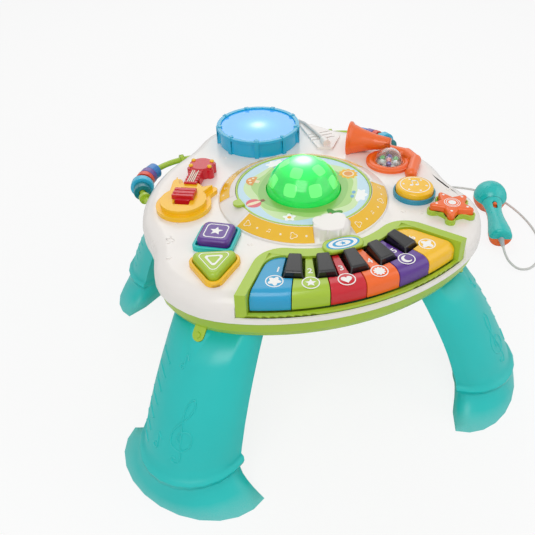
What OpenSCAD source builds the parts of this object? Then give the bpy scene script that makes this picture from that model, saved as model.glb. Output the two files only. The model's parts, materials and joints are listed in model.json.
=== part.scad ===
// Musical activity table for a toddler: a moulded deck on four splayed legs, with a keyboard, a turning
// picture disc round a light dome, a drum, a guitar, a horn, push buttons, bead bars and a corded microphone.
// The table's own axis is the centre of the picture disc. Heights are from the floor.

/* [Placement] */
// Where the disc's axis stands across the frame
table_x = -99.6; // [-200:0.1:200]
// Where the disc's axis stands front to back
table_y = -14.2; // [-200:0.1:200]

/* [Deck] */
// Radius of the deck's sides round the disc's axis
side_r = 198; // [190:1:205]
// How far the deck's back lobe reaches beyond the sides' radius
back_lobe = 34; // [20:1:36]
// How far the two front corners reach beyond the sides' radius
front_lobe = 20; // [12:1:24]
// Height of the flat top of the deck
deck_top = 237; // [230:1:250]
// Height of the seam between the deck and the lower case
seam_z = 207.5; // [205:0.5:209]
// Radius of the deck's rolled edge
edge_r = 18; // [10:1:20]
// Wall of the deck moulding
deck_wall = 2.5; // [2:0.1:3.5]
// Depth of the waist in each side
waist_depth = 5; // [0:0.5:6]
// Underside of the lower case
case_z = 184; // [178:1:186]
// Wall of the lower case
case_wall = 2.5; // [2:0.1:3.5]
// How far the white deck lip stands proud of the lower case
lip = 2.5; // [1:0.1:4]

/* [Legs] */
// Distance of each foot's middle from the disc's axis
foot_r = 238; // [225:1:250]
// Distance of each leg's middle from the axis at the case
hip_r = 160; // [154:1:166]
// How far the middle of the four legs stands to the side of the disc's axis
legs_mid_x = -9; // [-12:1:0]
// Outward reach of the leg section at the floor
foot_out = 62; // [54:1:70]
// Outward reach of the leg section at the case
hip_out = 42; // [36:1:46]
// Half width of the leg above its foot ring
shin_half_w = 62; // [54:1:70]
// Half width of the leg at the case
hip_half_w = 55; // [48:1:60]
// How far the skirt of the foot flares to each side
skirt_flare = 33; // [10:1:40]
// Wall of the leg moulding
leg_wall = 3; // [2:0.1:4]
// Height of the spigot that plugs into the case
spigot_h = 16; // [10:0.5:18]

/* [Keyboard] */
// Angle that one colour key covers round the disc's axis
key_pitch = 12.35; // [11:0.05:13]
// Radius of the keys' back end round the disc's axis
key_back_r = 131; // [129:0.5:134]
// Height of the key tops
key_top = 241; // [239:0.5:243]
// Radius of the keyboard's front arc
front_arc_r = 306; // [300:1:308]
// Gap between neighbouring keys
key_gap = 0.8; // [0.5:0.1:1.2]
// Width of the frame's border
border_w = 11; // [8:0.5:13]
// Height of the frame's border
border_top = 243.5; // [242:0.5:246]
// Underside of the frame's front lip, which sits on the deck's front wall
lip_z = 214; // [212:0.5:215]
// Height of the black keys
black_top = 250; // [246:0.5:254]

/* [Centre] */
// Outer radius of the light ring
ring_r = 105; // [100:0.5:106]
// Radius of the picture disc's well
well_r = 84; // [78:0.5:86]
// Height of the ring's inner edge
ring_top = 249; // [245:0.5:252]
// Radius of the light dome
dome_r = 45; // [38:0.5:48]
// Height of the dome above the disc
dome_h = 38; // [28:0.5:42]

/* [Drum] */
// Radius of the drum body
drum_r = 56; // [50:0.5:57]
// Height of the drum above the deck
drum_h = 25; // [20:0.5:32]

/* [Buttons] */
// Travel of the push buttons
button_travel = 3; // [2:0.1:3.1]
// Height of the button caps above the deck
cap_h = 14; // [12:0.5:18]
// Radius of the stem under each cap
stem_r = 4.5; // [3:0.1:5]

/* [Bead bars] */
// Radius of the bead bar's rod
bar_r = 4; // [3:0.1:5]
// Radius of the bar's bend, seen from above
bar_bend_r = 74; // [70:0.5:76]
// Height of the bar
bar_z = 214; // [208:0.5:218]

/* [Microphone] */
// Length of the microphone
mic_len = 150; // [140:1:160]
// Radius of the microphone's head
mic_head_r = 30; // [26:0.5:32]
// Radius of the microphone's tail
mic_tail_r = 19.5; // [17:0.5:21]
// Diameter of the cord
cord_d = 4; // [3.5:0.1:5]

/* [Hidden] */
$fn = 64;

lime = "#A9C832";
white = "#F2ECE6";
teal = "#12C4C0";
yellow = "#FBC312";
orange = "#F96B1E";
red = "#CF1126";
purple = "#5A2D91";
blue = "#1AA0D0";
black = "#2B2B2B";
steel = "#B8BCC0";
board_green = "#2E7D4F";

// Clearances shared by the pieces that meet
fit = 0.3;
pin_fit = 0.05;
slide_fit = 0.5;

// Deck outline in polar form: round sides, a lobe behind the drum, two front corners and a bowed front.
// Angles are measured from the sides, and the front bow is a circle about a point behind the disc's axis.
lobe_half = 25;
corner_from = -17;
corner_blend = 3.5;
waist_at = -7;
waist_half = 9;
front_mid_y = 119;
deck_front_r = 309;
front_blend = 4;
rim_steps = 90;
corner_steps = 8;
case_taper = 6.5;
case_mid_z = case_z + 8;

// Legs
leg_angles = [-140.6, -39.4, 128.7, 51.3];
leg_bow = 1.5;
leg_spread = 1.6;
leg_in = 10;
leg_side_steps = 12;
leg_back_steps = 4;
skirt_h = 28;
foot_ring_z = 39;
foot_ring_h = 6.5;
foot_ring_out = 5;
spigot_w = 60;
spigot_d = 26;
socket_wall = 2.5;
tab_w = 14;
tab_drop = 14;
tab_t = 2.4;
tab_proud = 0.8;
tab_arm = 26;
tab_arm_h = 4;
nub_r = 3.2;
tab_tilt = atan((leg_bow * (foot_r - hip_r) + leg_spread * (foot_out - hip_out)) / case_z);

// Case screws
screw_r = 1.4;
screw_head_r = 3;
screw_head_h = 2;
screw_len = 22;
post_r = 4.5;
post_bore_r = 1.6;
rear_screw_z = 198;
front_screw_z = 186;
front_post_z = 198;
rear_screws = [[-167, -26], [167, -26], [-162, 58], [162, 58], [-62, 180], [62, 180]];
front_screws = [[-48, -152], [48, -152]];

// Battery box under the deck
battery_r = 7.1;
battery_len = 50;
battery_count = 3;
battery_pitch = 15;
box_y = 62;
box_w = battery_count * battery_pitch + 2;
box_l = battery_len + 8;
door_margin = 5;
door_w = box_w + 2 * door_margin;
door_l = box_l + 2 * door_margin + 10;
door_y = box_y + 5;
door_t = case_wall;
door_screw_y = door_y + door_l / 2 - 6;

// Keyboard
key_count = 6;
black_count = key_count - 1;
key_half = key_count * key_pitch / 2;
key_front_r = front_arc_r - 5;
tray_front_r = front_arc_r - 1.5;
key_bottom = 219;
key_wall = 2;
key_round = 11;
pivot_r = 126;
pivot_z = 230;
pin_r = 1.25;
barrel_r = 3;
colour_barrel = 9;
black_barrel = 11;
rib_t = 1.2;
frame_floor = 208;
frame_wall = 2.5;
hood_t = 3;
bay_r = 121;
frame_back_r = 118;
ledge_top = 217.5;
plunger_r = 3;
plunger_z = 218.3;
colour_plunger_at = 167;
black_plunger_at = 148;
black_from = 134;
black_to = 164;
black_half_back = 8;
black_half_front = 11;
black_bottom = 222;
black_gap = 1.3;
label_y = -119.5;
label_half = 11;
label_r = 12.5;
label_top = 246;
board_t = 1.6;
contact_top = 215.9;

// Centre
lens_t = 2.45;
lens_gap = 0.15;
rim_wall = 2.4;
rim_top = ring_top;
hub_r = 52.4;
flange_r = 52;
disc_z = 245;
disc_t = 3;
dome_wall = 2;
dome_base_z = disc_z + disc_t + 2;
tab_angle = -173;
tab_r = 7;

// Drum
drum_at = [-6, 165];
drum_wall = 3;
drum_lugs = 9;
lug_w = 6;
lug_d = 3.5;
hoop_out = 2.5;
skin_drop = 2;
skin_travel = 3;
skin_t = 2.5;
skin_skirt = 9;
guide_r = 6;

// Speaker
speaker_at = [80, 138];
speaker_r = 21;
speaker_h = 22;
panel_h = 3;
slot_w = 16;
slot_t = 2.2;
gland_at = [76, 113];

// Guitar, along its own neck
guitar_at = [-143, 28];
guitar_turn = 63;
guitar_low = 6;
guitar_high = 12;
slider_len = 24;
slider_half = 9;
slider_travel = 5;
neck_half = 8;
head_at = [78, -3];
head_r = 15;

// Horn
horn_at = [137, 36];
loop_r = 24.5;
loop_tube_r = 6;
rattle_r = 18.4;
bell_from = [103, 92];
bell_turn = -37;
bell_len = 58;
bell_r = 24;
bell_wall = 2;
bell_z = deck_top + 16;
throat_r = 8;
horn_tip = [146, -8];

// Button places: the middle of each base and its turn
round_at = [129, -47];
star_at = [150, -98];
square_at = [-124, -55];
triangle_at = [-139, -103];
round_r = 26;
star_out = 29;
star_in = 17;
star_tip_r = 6;
square_half = 23;
square_corner = 7;
triangle_r = 18.5;
triangle_corner = 11;
star_turn = 20;
square_turn = -31;
triangle_turn = -106;
base_h = 6.5;
base_floor = 1.8;
base_wall = 2.2;
block_wall = 4;
cap_low = 5.1;
sleeve_wall = 1.3;
stem_low = 226;
side_board_z = 216;
side_board = [44, 84];
side_board_at = [133, -78];
switch_top = stem_low - button_travel - fit;

// Bead bars: the middle of the bend and the angles of its two ends
bar_mid = [-109, 113];
bar_from = 66;
bar_to = 202;
clip_at = [93, 187];
clip_r = 7.5;
bead_gap = 0.6;
bead_list = [[130, 11, 13], [140.6, 12, 10], [148.8, 12.5, 9], [156.2, 11, 6], [161.3, 15, 10], [169.5, 11, 12]];

// Microphone, along its own axis from tail to head
mic_at = [390, 71];
mic_turn = 65;
mic_rest_s = 6;
mic_head_s = mic_len - mic_head_r;
mic_tilt = asin((mic_head_r - mic_tail_r) / (mic_head_s - mic_rest_s));
mic_waist_r = 13.5;
mic_neck_r = 17.5;
mic_wall = 2;
switch_at = 78;
relief_len = 18;
relief_rim = 0.8;
relief_r = 5;

// The cord's route over the deck's back edge, round behind the table and up to the microphone
cord_steps = 2.6;
cord_route = [[76, 122, 243], [75.2, 134, 243], [74.2, 150, 242.6], [72.8, 167, 242.3], [71.4, 180, 242.2],
    [70, 188, 241], [69.2, 194, 239.5], [69.4, 199.7, 238.3], [71, 205.4, 235], [72.4, 209.8, 229.6],
    [73.3, 212.1, 222.7], [73.6, 212.8, 214], [73.6, 213, 195], [73.2, 213.2, 170], [72.2, 213.6, 130],
    [71, 214.5, 90], [69, 218, 50], [67, 228, 18], [67, 246, 3.6], [78, 270, 2.3], [110, 292, 2.3],
    [154, 310, 2.3], [206, 317, 2.3], [262, 311, 2.3], [318, 300, 2.3], [372, 288, 2.3], [424, 270, 2.3],
    [464, 238, 2.3], [484, 192, 2.3], [487, 142, 2.3], [478, 92, 2.3], [458, 48, 2.3], [430, 18, 2.3],
    [402, 4, 2.3], [382, 8, 4], [374, 22, 9.5], [375, 36, 14], [379.5, 48.6, 16.6], [382.3, 54.6, 17.3]];

module at_table() translate([table_x, table_y, 0]) children();

// A closed solid through rings of points that all have the same count
module skin(rings) {
    n = len(rings[0]);
    m = len(rings);
    polyhedron(
        points = [for (ring = rings) for (p = ring) p],
        faces = concat(
            [[for (i = [0:n - 1]) i]],
            [[for (i = [n - 1:-1:0]) (m - 1) * n + i]],
            [for (k = [0:m - 2]) for (i = [0:n - 1])
                let (j = (i + 1) % n) [k * n + i, (k + 1) * n + i, (k + 1) * n + j, k * n + j]]));
}

// Deck outline at angle t, and the same point moved inwards along the outline's normal
function rim_radius(t) = let (
    up = asin(sin(t)),
    side = side_r + back_lobe * exp(-pow((90 - up) / lobe_half, 4))
        + front_lobe / (1 + exp((up - corner_from) / corner_blend))
        - waist_depth * exp(-pow((up - waist_at) / waist_half, 2)),
    front = front_mid_y * sin(t) + sqrt(pow(deck_front_r, 2) - pow(front_mid_y * cos(t), 2)))
    -front_blend * ln(exp(-side / front_blend) + exp(-front / front_blend));
function rim_point(t) = rim_radius(t) * [cos(t), sin(t)];
function rim_inset(t, d) = let (
    p = rim_point(t),
    q = rim_point(t + 1) - rim_point(t - 1))
    p + d / norm(q) * [-q[1], q[0]];
function rim_ring(d, z) = [for (i = [0:rim_steps - 1])
    let (p = rim_inset(i * 360 / rim_steps, d)) [p[0], p[1], z]];

module deck_solid(wall) {
    r = edge_r - wall / 2;
    top = deck_top - wall;
    skin(concat(
        [rim_ring(wall, seam_z - (wall > 0 ? 1 : 0)), rim_ring(wall, top - r)],
        [for (a = [22, 45, 68, 90]) rim_ring(wall + r * (1 - cos(a)), top - r + r * sin(a))]));
}

// Convex outline with round corners of radius r about the given points
module rounded_poly(pts, r) {
    n = len(pts);
    polygon([for (i = [0:n - 1]) let (
        next = pts[(i + 1) % n] - pts[i],
        last = pts[i] - pts[(i + n - 1) % n],
        from = atan2(-last[0], last[1]),
        turn = (atan2(-next[0], next[1]) - from + 720) % 360)
        for (k = [0:corner_steps]) pts[i] + polar(r, from + turn * k / corner_steps)]);
}

function polar(r, a) = r * [cos(a), sin(a)];

// Wedge of the keyboard between two angles, its straight sides moved outwards by d
module wedge(a0, a1, d) {
    near = 90;
    far = 260;
    polygon([
        polar(near, a0) + polar(d, a0 - 90), polar(far, a0) + polar(d, a0 - 90),
        polar(far, a1) + polar(d, a1 + 90), polar(near, a1) + polar(d, a1 + 90)]);
}

module keyboard_plan(d, front) difference() {
    intersection() {
        wedge(-90 - key_half, -90 + key_half, border_w + key_gap + d);
        translate([0, front_mid_y]) circle(front + d, $fn = 180);
    }
    circle(frame_back_r - d, $fn = 120);
}

// Ring round the disc's axis between two angles, from a profile in radius and height
module arc_band(from, to, profile)
    rotate([0, 0, from]) rotate_extrude(angle = to - from, $fn = 120) polygon(profile);

function cone_z(r) = deck_top + 1.4 + (ring_r - r) * (ring_top - deck_top - 1.4) / (ring_r - well_r);

// ---------------------------------------------------------------- case and deck
module leg_place(i) translate([legs_mid_x, 0, 0]) rotate([0, 0, leg_angles[i]]) children();

module spigot(d, top) translate([hip_r - spigot_d / 2 - d - 4, -spigot_w / 2 - d, case_z])
    cube([spigot_d + 2 * d, spigot_w + 2 * d, top - case_z]);

module case_shell(wall) skin([
    rim_ring(lip + case_taper + wall, case_z + (wall > 0 ? case_wall : 0)),
    rim_ring(lip + 2.5 + wall, case_mid_z),
    rim_ring(lip + wall, seam_z + (wall > 0 ? 1 : 0))]);

module screw_post(p, head_z, foot_z, top_z) translate([p[0], p[1], 0]) difference() {
    translate([0, 0, foot_z]) cylinder(r = post_r, h = top_z - foot_z, $fn = 32);
    translate([0, 0, foot_z - 5]) cylinder(r = screw_head_r + fit, h = head_z - foot_z + 5, $fn = 32);
    cylinder(r = post_bore_r, h = top_z + 5, $fn = 32);
}

module bottom_case() color(lime) at_table() {
    difference() {
        union() {
            difference() {
                case_shell(0);
                case_shell(case_wall);
            }
            for (i = [0:3]) leg_place(i) spigot(socket_wall + fit, case_z + spigot_h + socket_wall + fit);
            translate([-box_w / 2 - 2, box_y - box_l / 2 - 2, case_z])
                cube([box_w + 4, box_l + 4, battery_r * 2 + case_wall + 3]);
            translate([-door_w / 2 - 4, door_y - door_l / 2 - 4, case_z])
                cube([door_w + 8, door_l + 8, door_t + case_wall]);
            translate([-6, door_screw_y - 5, case_z]) cube([12, 10, 12]);
        }
        for (i = [0:3]) leg_place(i) translate([0, 0, -1]) spigot(fit, case_z + spigot_h + fit + 1);
        translate([-box_w / 2, box_y - box_l / 2, case_z - 1])
            cube([box_w, box_l, battery_r * 2 + case_wall + 2]);
        translate([-door_w / 2 - fit, door_y - door_l / 2 - fit, case_z - 1])
            cube([door_w + 2 * fit, door_l + 2 * fit, door_t + 1]);
        translate([0, door_screw_y, case_z]) cylinder(r = screw_r + 0.6, h = 11, $fn = 32);
        for (p = concat(rear_screws, front_screws)) translate([p[0], p[1], case_z - 1])
            cylinder(r = screw_head_r + fit, h = case_wall + 2, $fn = 32);
    }
    for (p = rear_screws) screw_post(p, rear_screw_z, case_z + case_wall / 2, seam_z);
    for (p = front_screws) screw_post(p, front_screw_z, case_z + case_wall / 2, front_post_z);
    for (i = [0:3]) leg_place(i) lock_tab();
}

module cloud_tab() difference() {
    translate([0, 0, deck_top - 1]) linear_extrude(17)
        for (c = [[80, -98, 8], [79, -90, 9.5], [81, -82, 8.5], [90, -97, 11], [92, -84, 11], [93, -90, 12]])
            translate(polar(c[0], c[1])) circle(c[2], $fn = 48);
    translate([0, 0, deck_top - 2]) cylinder(r = well_r + 0.4, h = ring_top + 0.7 - deck_top + 2);
}

module top_shell() color(white) at_table() difference() {
    union() {
        difference() {
            deck_solid(0);
            deck_solid(deck_wall);
        }
        rotate_extrude($fn = 120) polygon([
            [well_r, deck_top - 1], [ring_r, deck_top - 1], [ring_r, cone_z(ring_r)],
            [well_r, cone_z(well_r)]]);
        arc_band(172.5, 199.5, [[well_r, deck_top], [ring_r - 0.5, deck_top],
            [ring_r - 1, cone_z(ring_r) + 1.2], [well_r, cone_z(well_r) + 0.3]]);
        cloud_tab();
        translate([drum_at[0], drum_at[1], deck_top - 6]) difference() {
            cylinder(r = drum_r + 1, h = 6, $fn = 96);
            translate([0, 0, -1]) cylinder(r = drum_r - 8, h = 8, $fn = 96);
        }
        translate([star_at[0], star_at[1], deck_top - 6]) linear_extrude(6) star_plan(0.2);
        for (p = rear_screws) translate([p[0], p[1], seam_z])
            cylinder(r = post_r, h = deck_top - seam_z - 1, $fn = 32);
        for (s = [-1, 1]) for (q = [[0, -36], [14, 36]])
            translate([s * (side_board_at[0] + q[0]), side_board_at[1] + q[1], side_board_z + board_t])
                cylinder(r = 3, h = deck_top - side_board_z - board_t - 1, $fn = 24);
        for (p = [[-62, 20], [62, 20], [-40, 60], [40, 60]]) translate([p[0], p[1], side_board_z + board_t])
            cylinder(r = 3, h = deck_top - side_board_z - board_t - 1, $fn = 24);
    }
    translate([0, 0, frame_floor - fit]) linear_extrude(60) intersection() {
        keyboard_plan(0.25, tray_front_r);
        translate([0, -170]) square([400, 180], center = true);
    }
    translate([0, 0, lip_z - fit]) linear_extrude(60) intersection() {
        wedge(-90 - key_half, -90 + key_half, border_w + key_gap + 0.25);
        translate([0, -230]) square([300, 160], center = true);
    }
    for (a = [[19, 170], [201.5, 256], [284, 349]]) arc_band(a[0], a[1], lens_profile(a[0] < 100 ? 91 : well_r + 0.6, 0));
    cylinder(r = 20, h = deck_top + 30);
    for (p = rear_screws) translate([p[0], p[1], seam_z - 1])
        cylinder(r = screw_r, h = rear_screw_z + screw_len + 1.5 - seam_z, $fn = 32);
    for (p = [round_at, star_at, square_at, triangle_at]) translate([p[0], p[1], deck_top - 12])
        cylinder(r = stem_r + fit + sleeve_wall + 0.2, h = 30, $fn = 32);
    translate([speaker_at[0], speaker_at[1], deck_top - 10]) cylinder(r = speaker_r - 4, h = 30);
    translate([drum_at[0], drum_at[1], deck_top - 10]) cylinder(r = guide_r + fit, h = 30);
}

function lens_profile(inner, shrink) = [
    [inner + shrink, cone_z(inner + shrink) - lens_t - lens_gap + shrink],
    [ring_r - 1.5 - shrink, cone_z(ring_r - 1.5 - shrink) - lens_t - lens_gap + shrink],
    [ring_r - 1.5 - shrink, cone_z(ring_r - 1.5 - shrink) + (shrink > 0 ? 0.4 : 3)],
    [inner + shrink, cone_z(inner + shrink) + (shrink > 0 ? 0.4 : 3)]];

module light_ring() color("#F7C12A", 0.8) at_table()
    for (a = [[19, 170, 91], [201.5, 256, well_r + 0.6], [284, 349, well_r + 0.6]])
        arc_band(a[0] + 0.1, a[1] - 0.1, lens_profile(a[2], lens_gap));

module case_screw() {
    translate([0, 0, -screw_head_h]) cylinder(r = screw_head_r, h = screw_head_h, $fn = 32);
    cylinder(r = screw_r, h = screw_len, $fn = 32);
}

module case_screws() color(steel) at_table() {
    for (p = rear_screws) translate([p[0], p[1], rear_screw_z]) case_screw();
    for (p = front_screws) translate([p[0], p[1], front_screw_z]) case_screw();
}

// ---------------------------------------------------------------- legs
function leg_axis(z) = foot_r - (foot_r - hip_r) * pow(z / case_z, leg_bow);
function leg_bead(z) = let (u = (z - foot_ring_z) / foot_ring_h)
    abs(u) < 1 ? foot_ring_out * sqrt(1 - u * u) : 0;
function leg_flare(z) = z < skirt_h ? pow(1 - z / skirt_h, 1.5) : 0;
function leg_out(z) = foot_out - (foot_out - hip_out) * pow(z / case_z, leg_spread)
    + leg_bead(z) + 3 * leg_flare(z);
function leg_half(z) = shin_half_w - (shin_half_w - hip_half_w) * z / case_z
    + leg_bead(z) + skirt_flare * leg_flare(z);
function leg_ring(z, wall) = let (
    at = max(0, z),
    c = leg_axis(at),
    a = leg_out(at) - wall,
    b = leg_half(at) - wall,
    n = leg_side_steps,
    m = leg_back_steps)
    concat(
        [for (i = [0:n]) let (t = -90 + 180 * i / n) [c + a * cos(t), b * sin(t), z]],
        [for (i = [1:m - 1]) let (t = 90 - 180 * i / m)
            [c - (leg_in - wall) * cos(t), b * sin(t), z]]);

module leg(i) color(teal) at_table() leg_place(i) {
    difference() {
        skin([for (z = [0, 4, 9, 15, 21, skirt_h, 32.5, 34.5, foot_ring_z, 43.5, 45.5, 54, 80, 105, 130,
            153, case_z]) leg_ring(z, 0)]);
        skin([for (z = [-1, 3, 7, 12, 18, skirt_h, 45, 80, 120, case_z - leg_wall]) leg_ring(z, leg_wall)]);
        lock_notch(fit);
    }
    spigot(0, case_z + spigot_h);
}

// Notch in the outer face of a leg, where the case's lock tongue hangs along the leg's slope
module lock_notch(d) lock_slope() translate([-8, 0, tab_w / 2 - tab_drop]) {
    rotate([0, 90, 0]) cylinder(r = tab_w / 2 + d, h = 20, $fn = 40);
    translate([0, -tab_w / 2 - d, 0]) cube([20, tab_w + 2 * d, 20]);
}

module lock_slope() translate([hip_r + hip_out, 0, case_z]) rotate([0, -tab_tilt, 0]) children();

module leg_front_left() leg(0);
module leg_front_right() leg(1);
module leg_back_left() leg(2);
module leg_back_right() leg(3);

module lock_tab() {
    lock_slope() translate([tab_proud - tab_t, 0, tab_w / 2 - tab_drop]) difference() {
        union() {
            rotate([0, 90, 0]) cylinder(r = tab_w / 2, h = tab_t, $fn = 40);
            translate([0, -tab_w / 2, 0]) cube([tab_t, tab_w, tab_drop - tab_w / 2 + tab_arm_h - 0.5]);
        }
        translate([-1, 0, 0]) rotate([0, 90, 0]) cylinder(r = nub_r + 0.1, h = tab_t + 2, $fn = 32);
    }
    translate([hip_r + hip_out - tab_arm, -tab_w / 2 + 1, case_z]) cube([tab_arm - 1.6, tab_w - 2, tab_arm_h]);
}

module leg_lock_buttons() color(lime) at_table() for (i = [0:3]) leg_place(i) lock_slope()
    translate([tab_proud - tab_t + 0.2, 0, tab_w / 2 - tab_drop]) rotate([0, 90, 0])
        cylinder(r = nub_r, h = tab_t + 1.2, $fn = 32);

// ---------------------------------------------------------------- power and sound
module battery_door() color(lime) at_table() difference() {
    translate([-door_w / 2, door_y - door_l / 2, case_z]) cube([door_w, door_l, door_t - 0.1]);
    translate([0, door_screw_y, case_z - 1]) cylinder(r = post_bore_r, h = 10, $fn = 32);
    translate([0, door_screw_y, case_z - 1]) cylinder(r = screw_head_r + 0.1, h = 2.2, $fn = 32);
}

module battery_door_screw() color(steel) at_table() translate([0, door_screw_y, case_z + 0.2]) {
    cylinder(r = screw_head_r, h = 1, $fn = 32);
    cylinder(r = screw_r - 0.05, h = 9, $fn = 32);
}

module batteries() color("#3A3F45") at_table() for (i = [0:battery_count - 1])
    translate([(i - (battery_count - 1) / 2) * battery_pitch, box_y, case_z + door_t + 0.2 + battery_r])
        rotate([i % 2 == 0 ? 90 : -90, 0, 0]) {
            cylinder(r = battery_r, h = battery_len - 1.5, center = true, $fn = 40);
            translate([0, 0, battery_len / 2 - 1]) cylinder(r = 2.7, h = 1.6, $fn = 24);
        }

module battery_contacts() color(steel) at_table() for (i = [0:battery_count - 1]) for (s = [-1, 1])
    translate([(i - (battery_count - 1) / 2) * battery_pitch, box_y + s * (box_l / 2 - 0.3),
        case_z + door_t + 0.2 + battery_r]) {
        cube([11, 0.6, 11], center = true);
        rotate([s * 90, 0, 0]) translate([0, 0, 0.2])
            cylinder(r1 = 3.5, r2 = 2, h = box_l / 2 - battery_len / 2 - 1.4, $fn = 24);
    }

module main_board() color(board_green) at_table() translate([0, 0, side_board_z]) difference() {
    translate([-72, -62, 0]) cube([144, 134, board_t]);
    translate([0, 0, -1]) cylinder(r = 12, h = 5);
}

module speaker() color("#4A4D52") at_table() translate([speaker_at[0], speaker_at[1], 0]) {
    translate([0, 0, deck_top - deck_wall - 2]) difference() {
        cylinder(r = speaker_r, h = 2);
        translate([0, 0, -1]) cylinder(r = speaker_r - 3, h = 4);
    }
    translate([0, 0, deck_top - deck_wall - 12]) difference() {
        cylinder(r1 = 12, r2 = speaker_r - 1, h = 10);
        translate([0, 0, 1.5]) cylinder(r1 = 10.5, r2 = speaker_r - 2.5, h = 10);
    }
    translate([0, 0, deck_top - deck_wall - speaker_h]) cylinder(r = 13, h = 10);
}

module speaker_cone() color("#26282B") at_table()
    translate([speaker_at[0], speaker_at[1], deck_top - deck_wall - 10.2]) difference() {
        cylinder(r1 = 8, r2 = speaker_r - 3.4, h = 8.4);
        translate([0, 0, 0.8]) cylinder(r1 = 7, r2 = speaker_r - 4.4, h = 8.4);
        translate([0, 0, -1]) cylinder(r = 3, h = 4, $fn = 24);
    }

module speaker_panel() color(white) at_table() {
    difference() {
        translate([0, 0, deck_top]) linear_extrude(panel_h)
            rounded_poly([[66, 110], [80, 103], [103, 132], [94, 152], [78, 176], [68, 180]], 4);
        for (row = [-1:1]) for (col = [-0.5, 0.5])
            translate([speaker_at[0] + col * (slot_w + 3) - slot_w / 2, speaker_at[1] + row * 9, deck_top - 1])
                cube([slot_w, slot_t, panel_h + 2]);
    }
    translate([gland_at[0], gland_at[1], deck_top + panel_h]) {
        difference() {
            translate([0, 8, 3]) rotate([90, 0, 0]) cylinder(r = 5.5, h = 14, $fn = 40);
            translate([-10, -10, -10]) cube([20, 30, 10]);
            translate([0, 9, 3]) rotate([90, 0, 0]) cylinder(r = cord_d / 2 + 0.4, h = 6, $fn = 32);
        }
    }
}

// ---------------------------------------------------------------- keyboard
module tangent_rod(a, r, len) rotate([0, 0, a]) translate([pivot_r, 0, pivot_z])
    rotate([90, 0, 0]) cylinder(r = r, h = len, center = true, $fn = 32);

module rib(a, side) rotate([0, 0, a]) translate([bay_r - 1, side, frame_floor + 1])
    cube([pivot_r - bay_r + barrel_r + 1, rib_t, pivot_z + 2 - frame_floor - 1]);

module pin_and_ribs(a, len) {
    tangent_rod(a, pin_r, len + 2 * (fit + rib_t));
    rib(a, len / 2 + fit);
    rib(a, -len / 2 - fit - rib_t);
}

function key_angle(i) = -90 + (i - (key_count - 1) / 2) * key_pitch;
function black_angle(j) = -90 + (j - (black_count - 1) / 2) * key_pitch;

module keyboard_frame() color(lime) at_table() {
    difference() {
        union() {
            translate([0, 0, frame_floor]) linear_extrude(border_top - frame_floor)
                keyboard_plan(0, tray_front_r);
            translate([0, 0, lip_z]) linear_extrude(border_top - lip_z) keyboard_plan(0, front_arc_r);
        }
        translate([0, 0, frame_floor + frame_wall]) linear_extrude(60) difference() {
            intersection() {
                wedge(-90 - key_half, -90 + key_half, key_gap);
                translate([0, front_mid_y]) circle(front_arc_r - 4, $fn = 180);
            }
            circle(key_back_r + 0.4, $fn = 120);
        }
        translate([0, 0, frame_floor + frame_wall])
            linear_extrude(border_top - hood_t - frame_floor - frame_wall) difference() {
                intersection() {
                    wedge(-90 - key_half, -90 + key_half, key_gap);
                    circle(key_back_r + 2, $fn = 120);
                }
                circle(bay_r, $fn = 120);
            }
        translate([0, 0, ledge_top]) linear_extrude(60) difference() {
            wedge(-90 - key_half, -90 + key_half, key_gap);
            translate([0, front_mid_y]) circle(front_arc_r - 4.5, $fn = 180);
            translate([0, -60]) circle(75, $fn = 60);
        }
        for (p = front_screws) translate([p[0], p[1], front_post_z - 1])
            cylinder(r = screw_r, h = screw_len + front_screw_z + 1.5 - front_post_z, $fn = 32);
    }
    difference() {
        translate([0, label_y, deck_top + fit]) linear_extrude(label_top - deck_top - fit)
            rounded_poly([[-label_half, -0.1], [label_half, -0.1], [label_half, 0.1], [-label_half, 0.1]], label_r);
        translate([0, 0, deck_top]) difference() {
            cylinder(r = 160, h = border_top - hood_t - deck_top + 0.1);
            cylinder(r = frame_back_r + 0.1, h = 20, center = true);
        }
        translate([0, 0, deck_top]) linear_extrude(40) difference() {
            circle(160);
            circle(key_back_r + 0.4, $fn = 120);
        }
    }
    for (p = front_screws) translate([p[0], p[1], front_post_z]) difference() {
        cylinder(r = post_r, h = frame_floor - front_post_z + 1, $fn = 32);
        translate([0, 0, -1]) cylinder(r = screw_r, h = screw_len + front_screw_z + 1.5 - front_post_z, $fn = 32);
    }
    for (i = [0:key_count - 1]) pin_and_ribs(key_angle(i), colour_barrel);
    for (j = [0:black_count - 1]) pin_and_ribs(black_angle(j), black_barrel);
}

function arc_points(cx, cz, r, a0, a1, n) = [for (k = [0:n]) let (a = a0 + (a1 - a0) * k / n)
    [cx + r * cos(a), cz + r * sin(a)]];

// Body of revolution round the front arc's centre: flat top, waterfall front
module key_block(wall) translate([0, front_mid_y, 0]) rotate_extrude($fn = 180) polygon(concat(
    [[150, key_bottom - (wall > 0 ? 1 : 0)], [key_front_r - wall, key_bottom - (wall > 0 ? 1 : 0)]],
    arc_points(key_front_r - key_round, key_top - key_round, key_round - wall, 0, 90, 6),
    [[150, key_top - wall]]));

module black_plan(j, d) rotate([0, 0, black_angle(j)]) polygon([
    [black_from - d - (d > 0 ? 20 : 0), -black_half_back - d], [black_to + d, -black_half_front - d],
    [black_to + d, black_half_front + d], [black_from - d - (d > 0 ? 20 : 0), black_half_back + d]]);

module key_sector(i, d) difference() {
    wedge(key_angle(i) - key_pitch / 2, key_angle(i) + key_pitch / 2, -key_gap / 2 - d);
    circle(key_back_r + 0.6 + d, $fn = 120);
    for (j = [i - 1, i]) if (j >= 0 && j < black_count) black_plan(j, black_gap + d);
}

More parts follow.
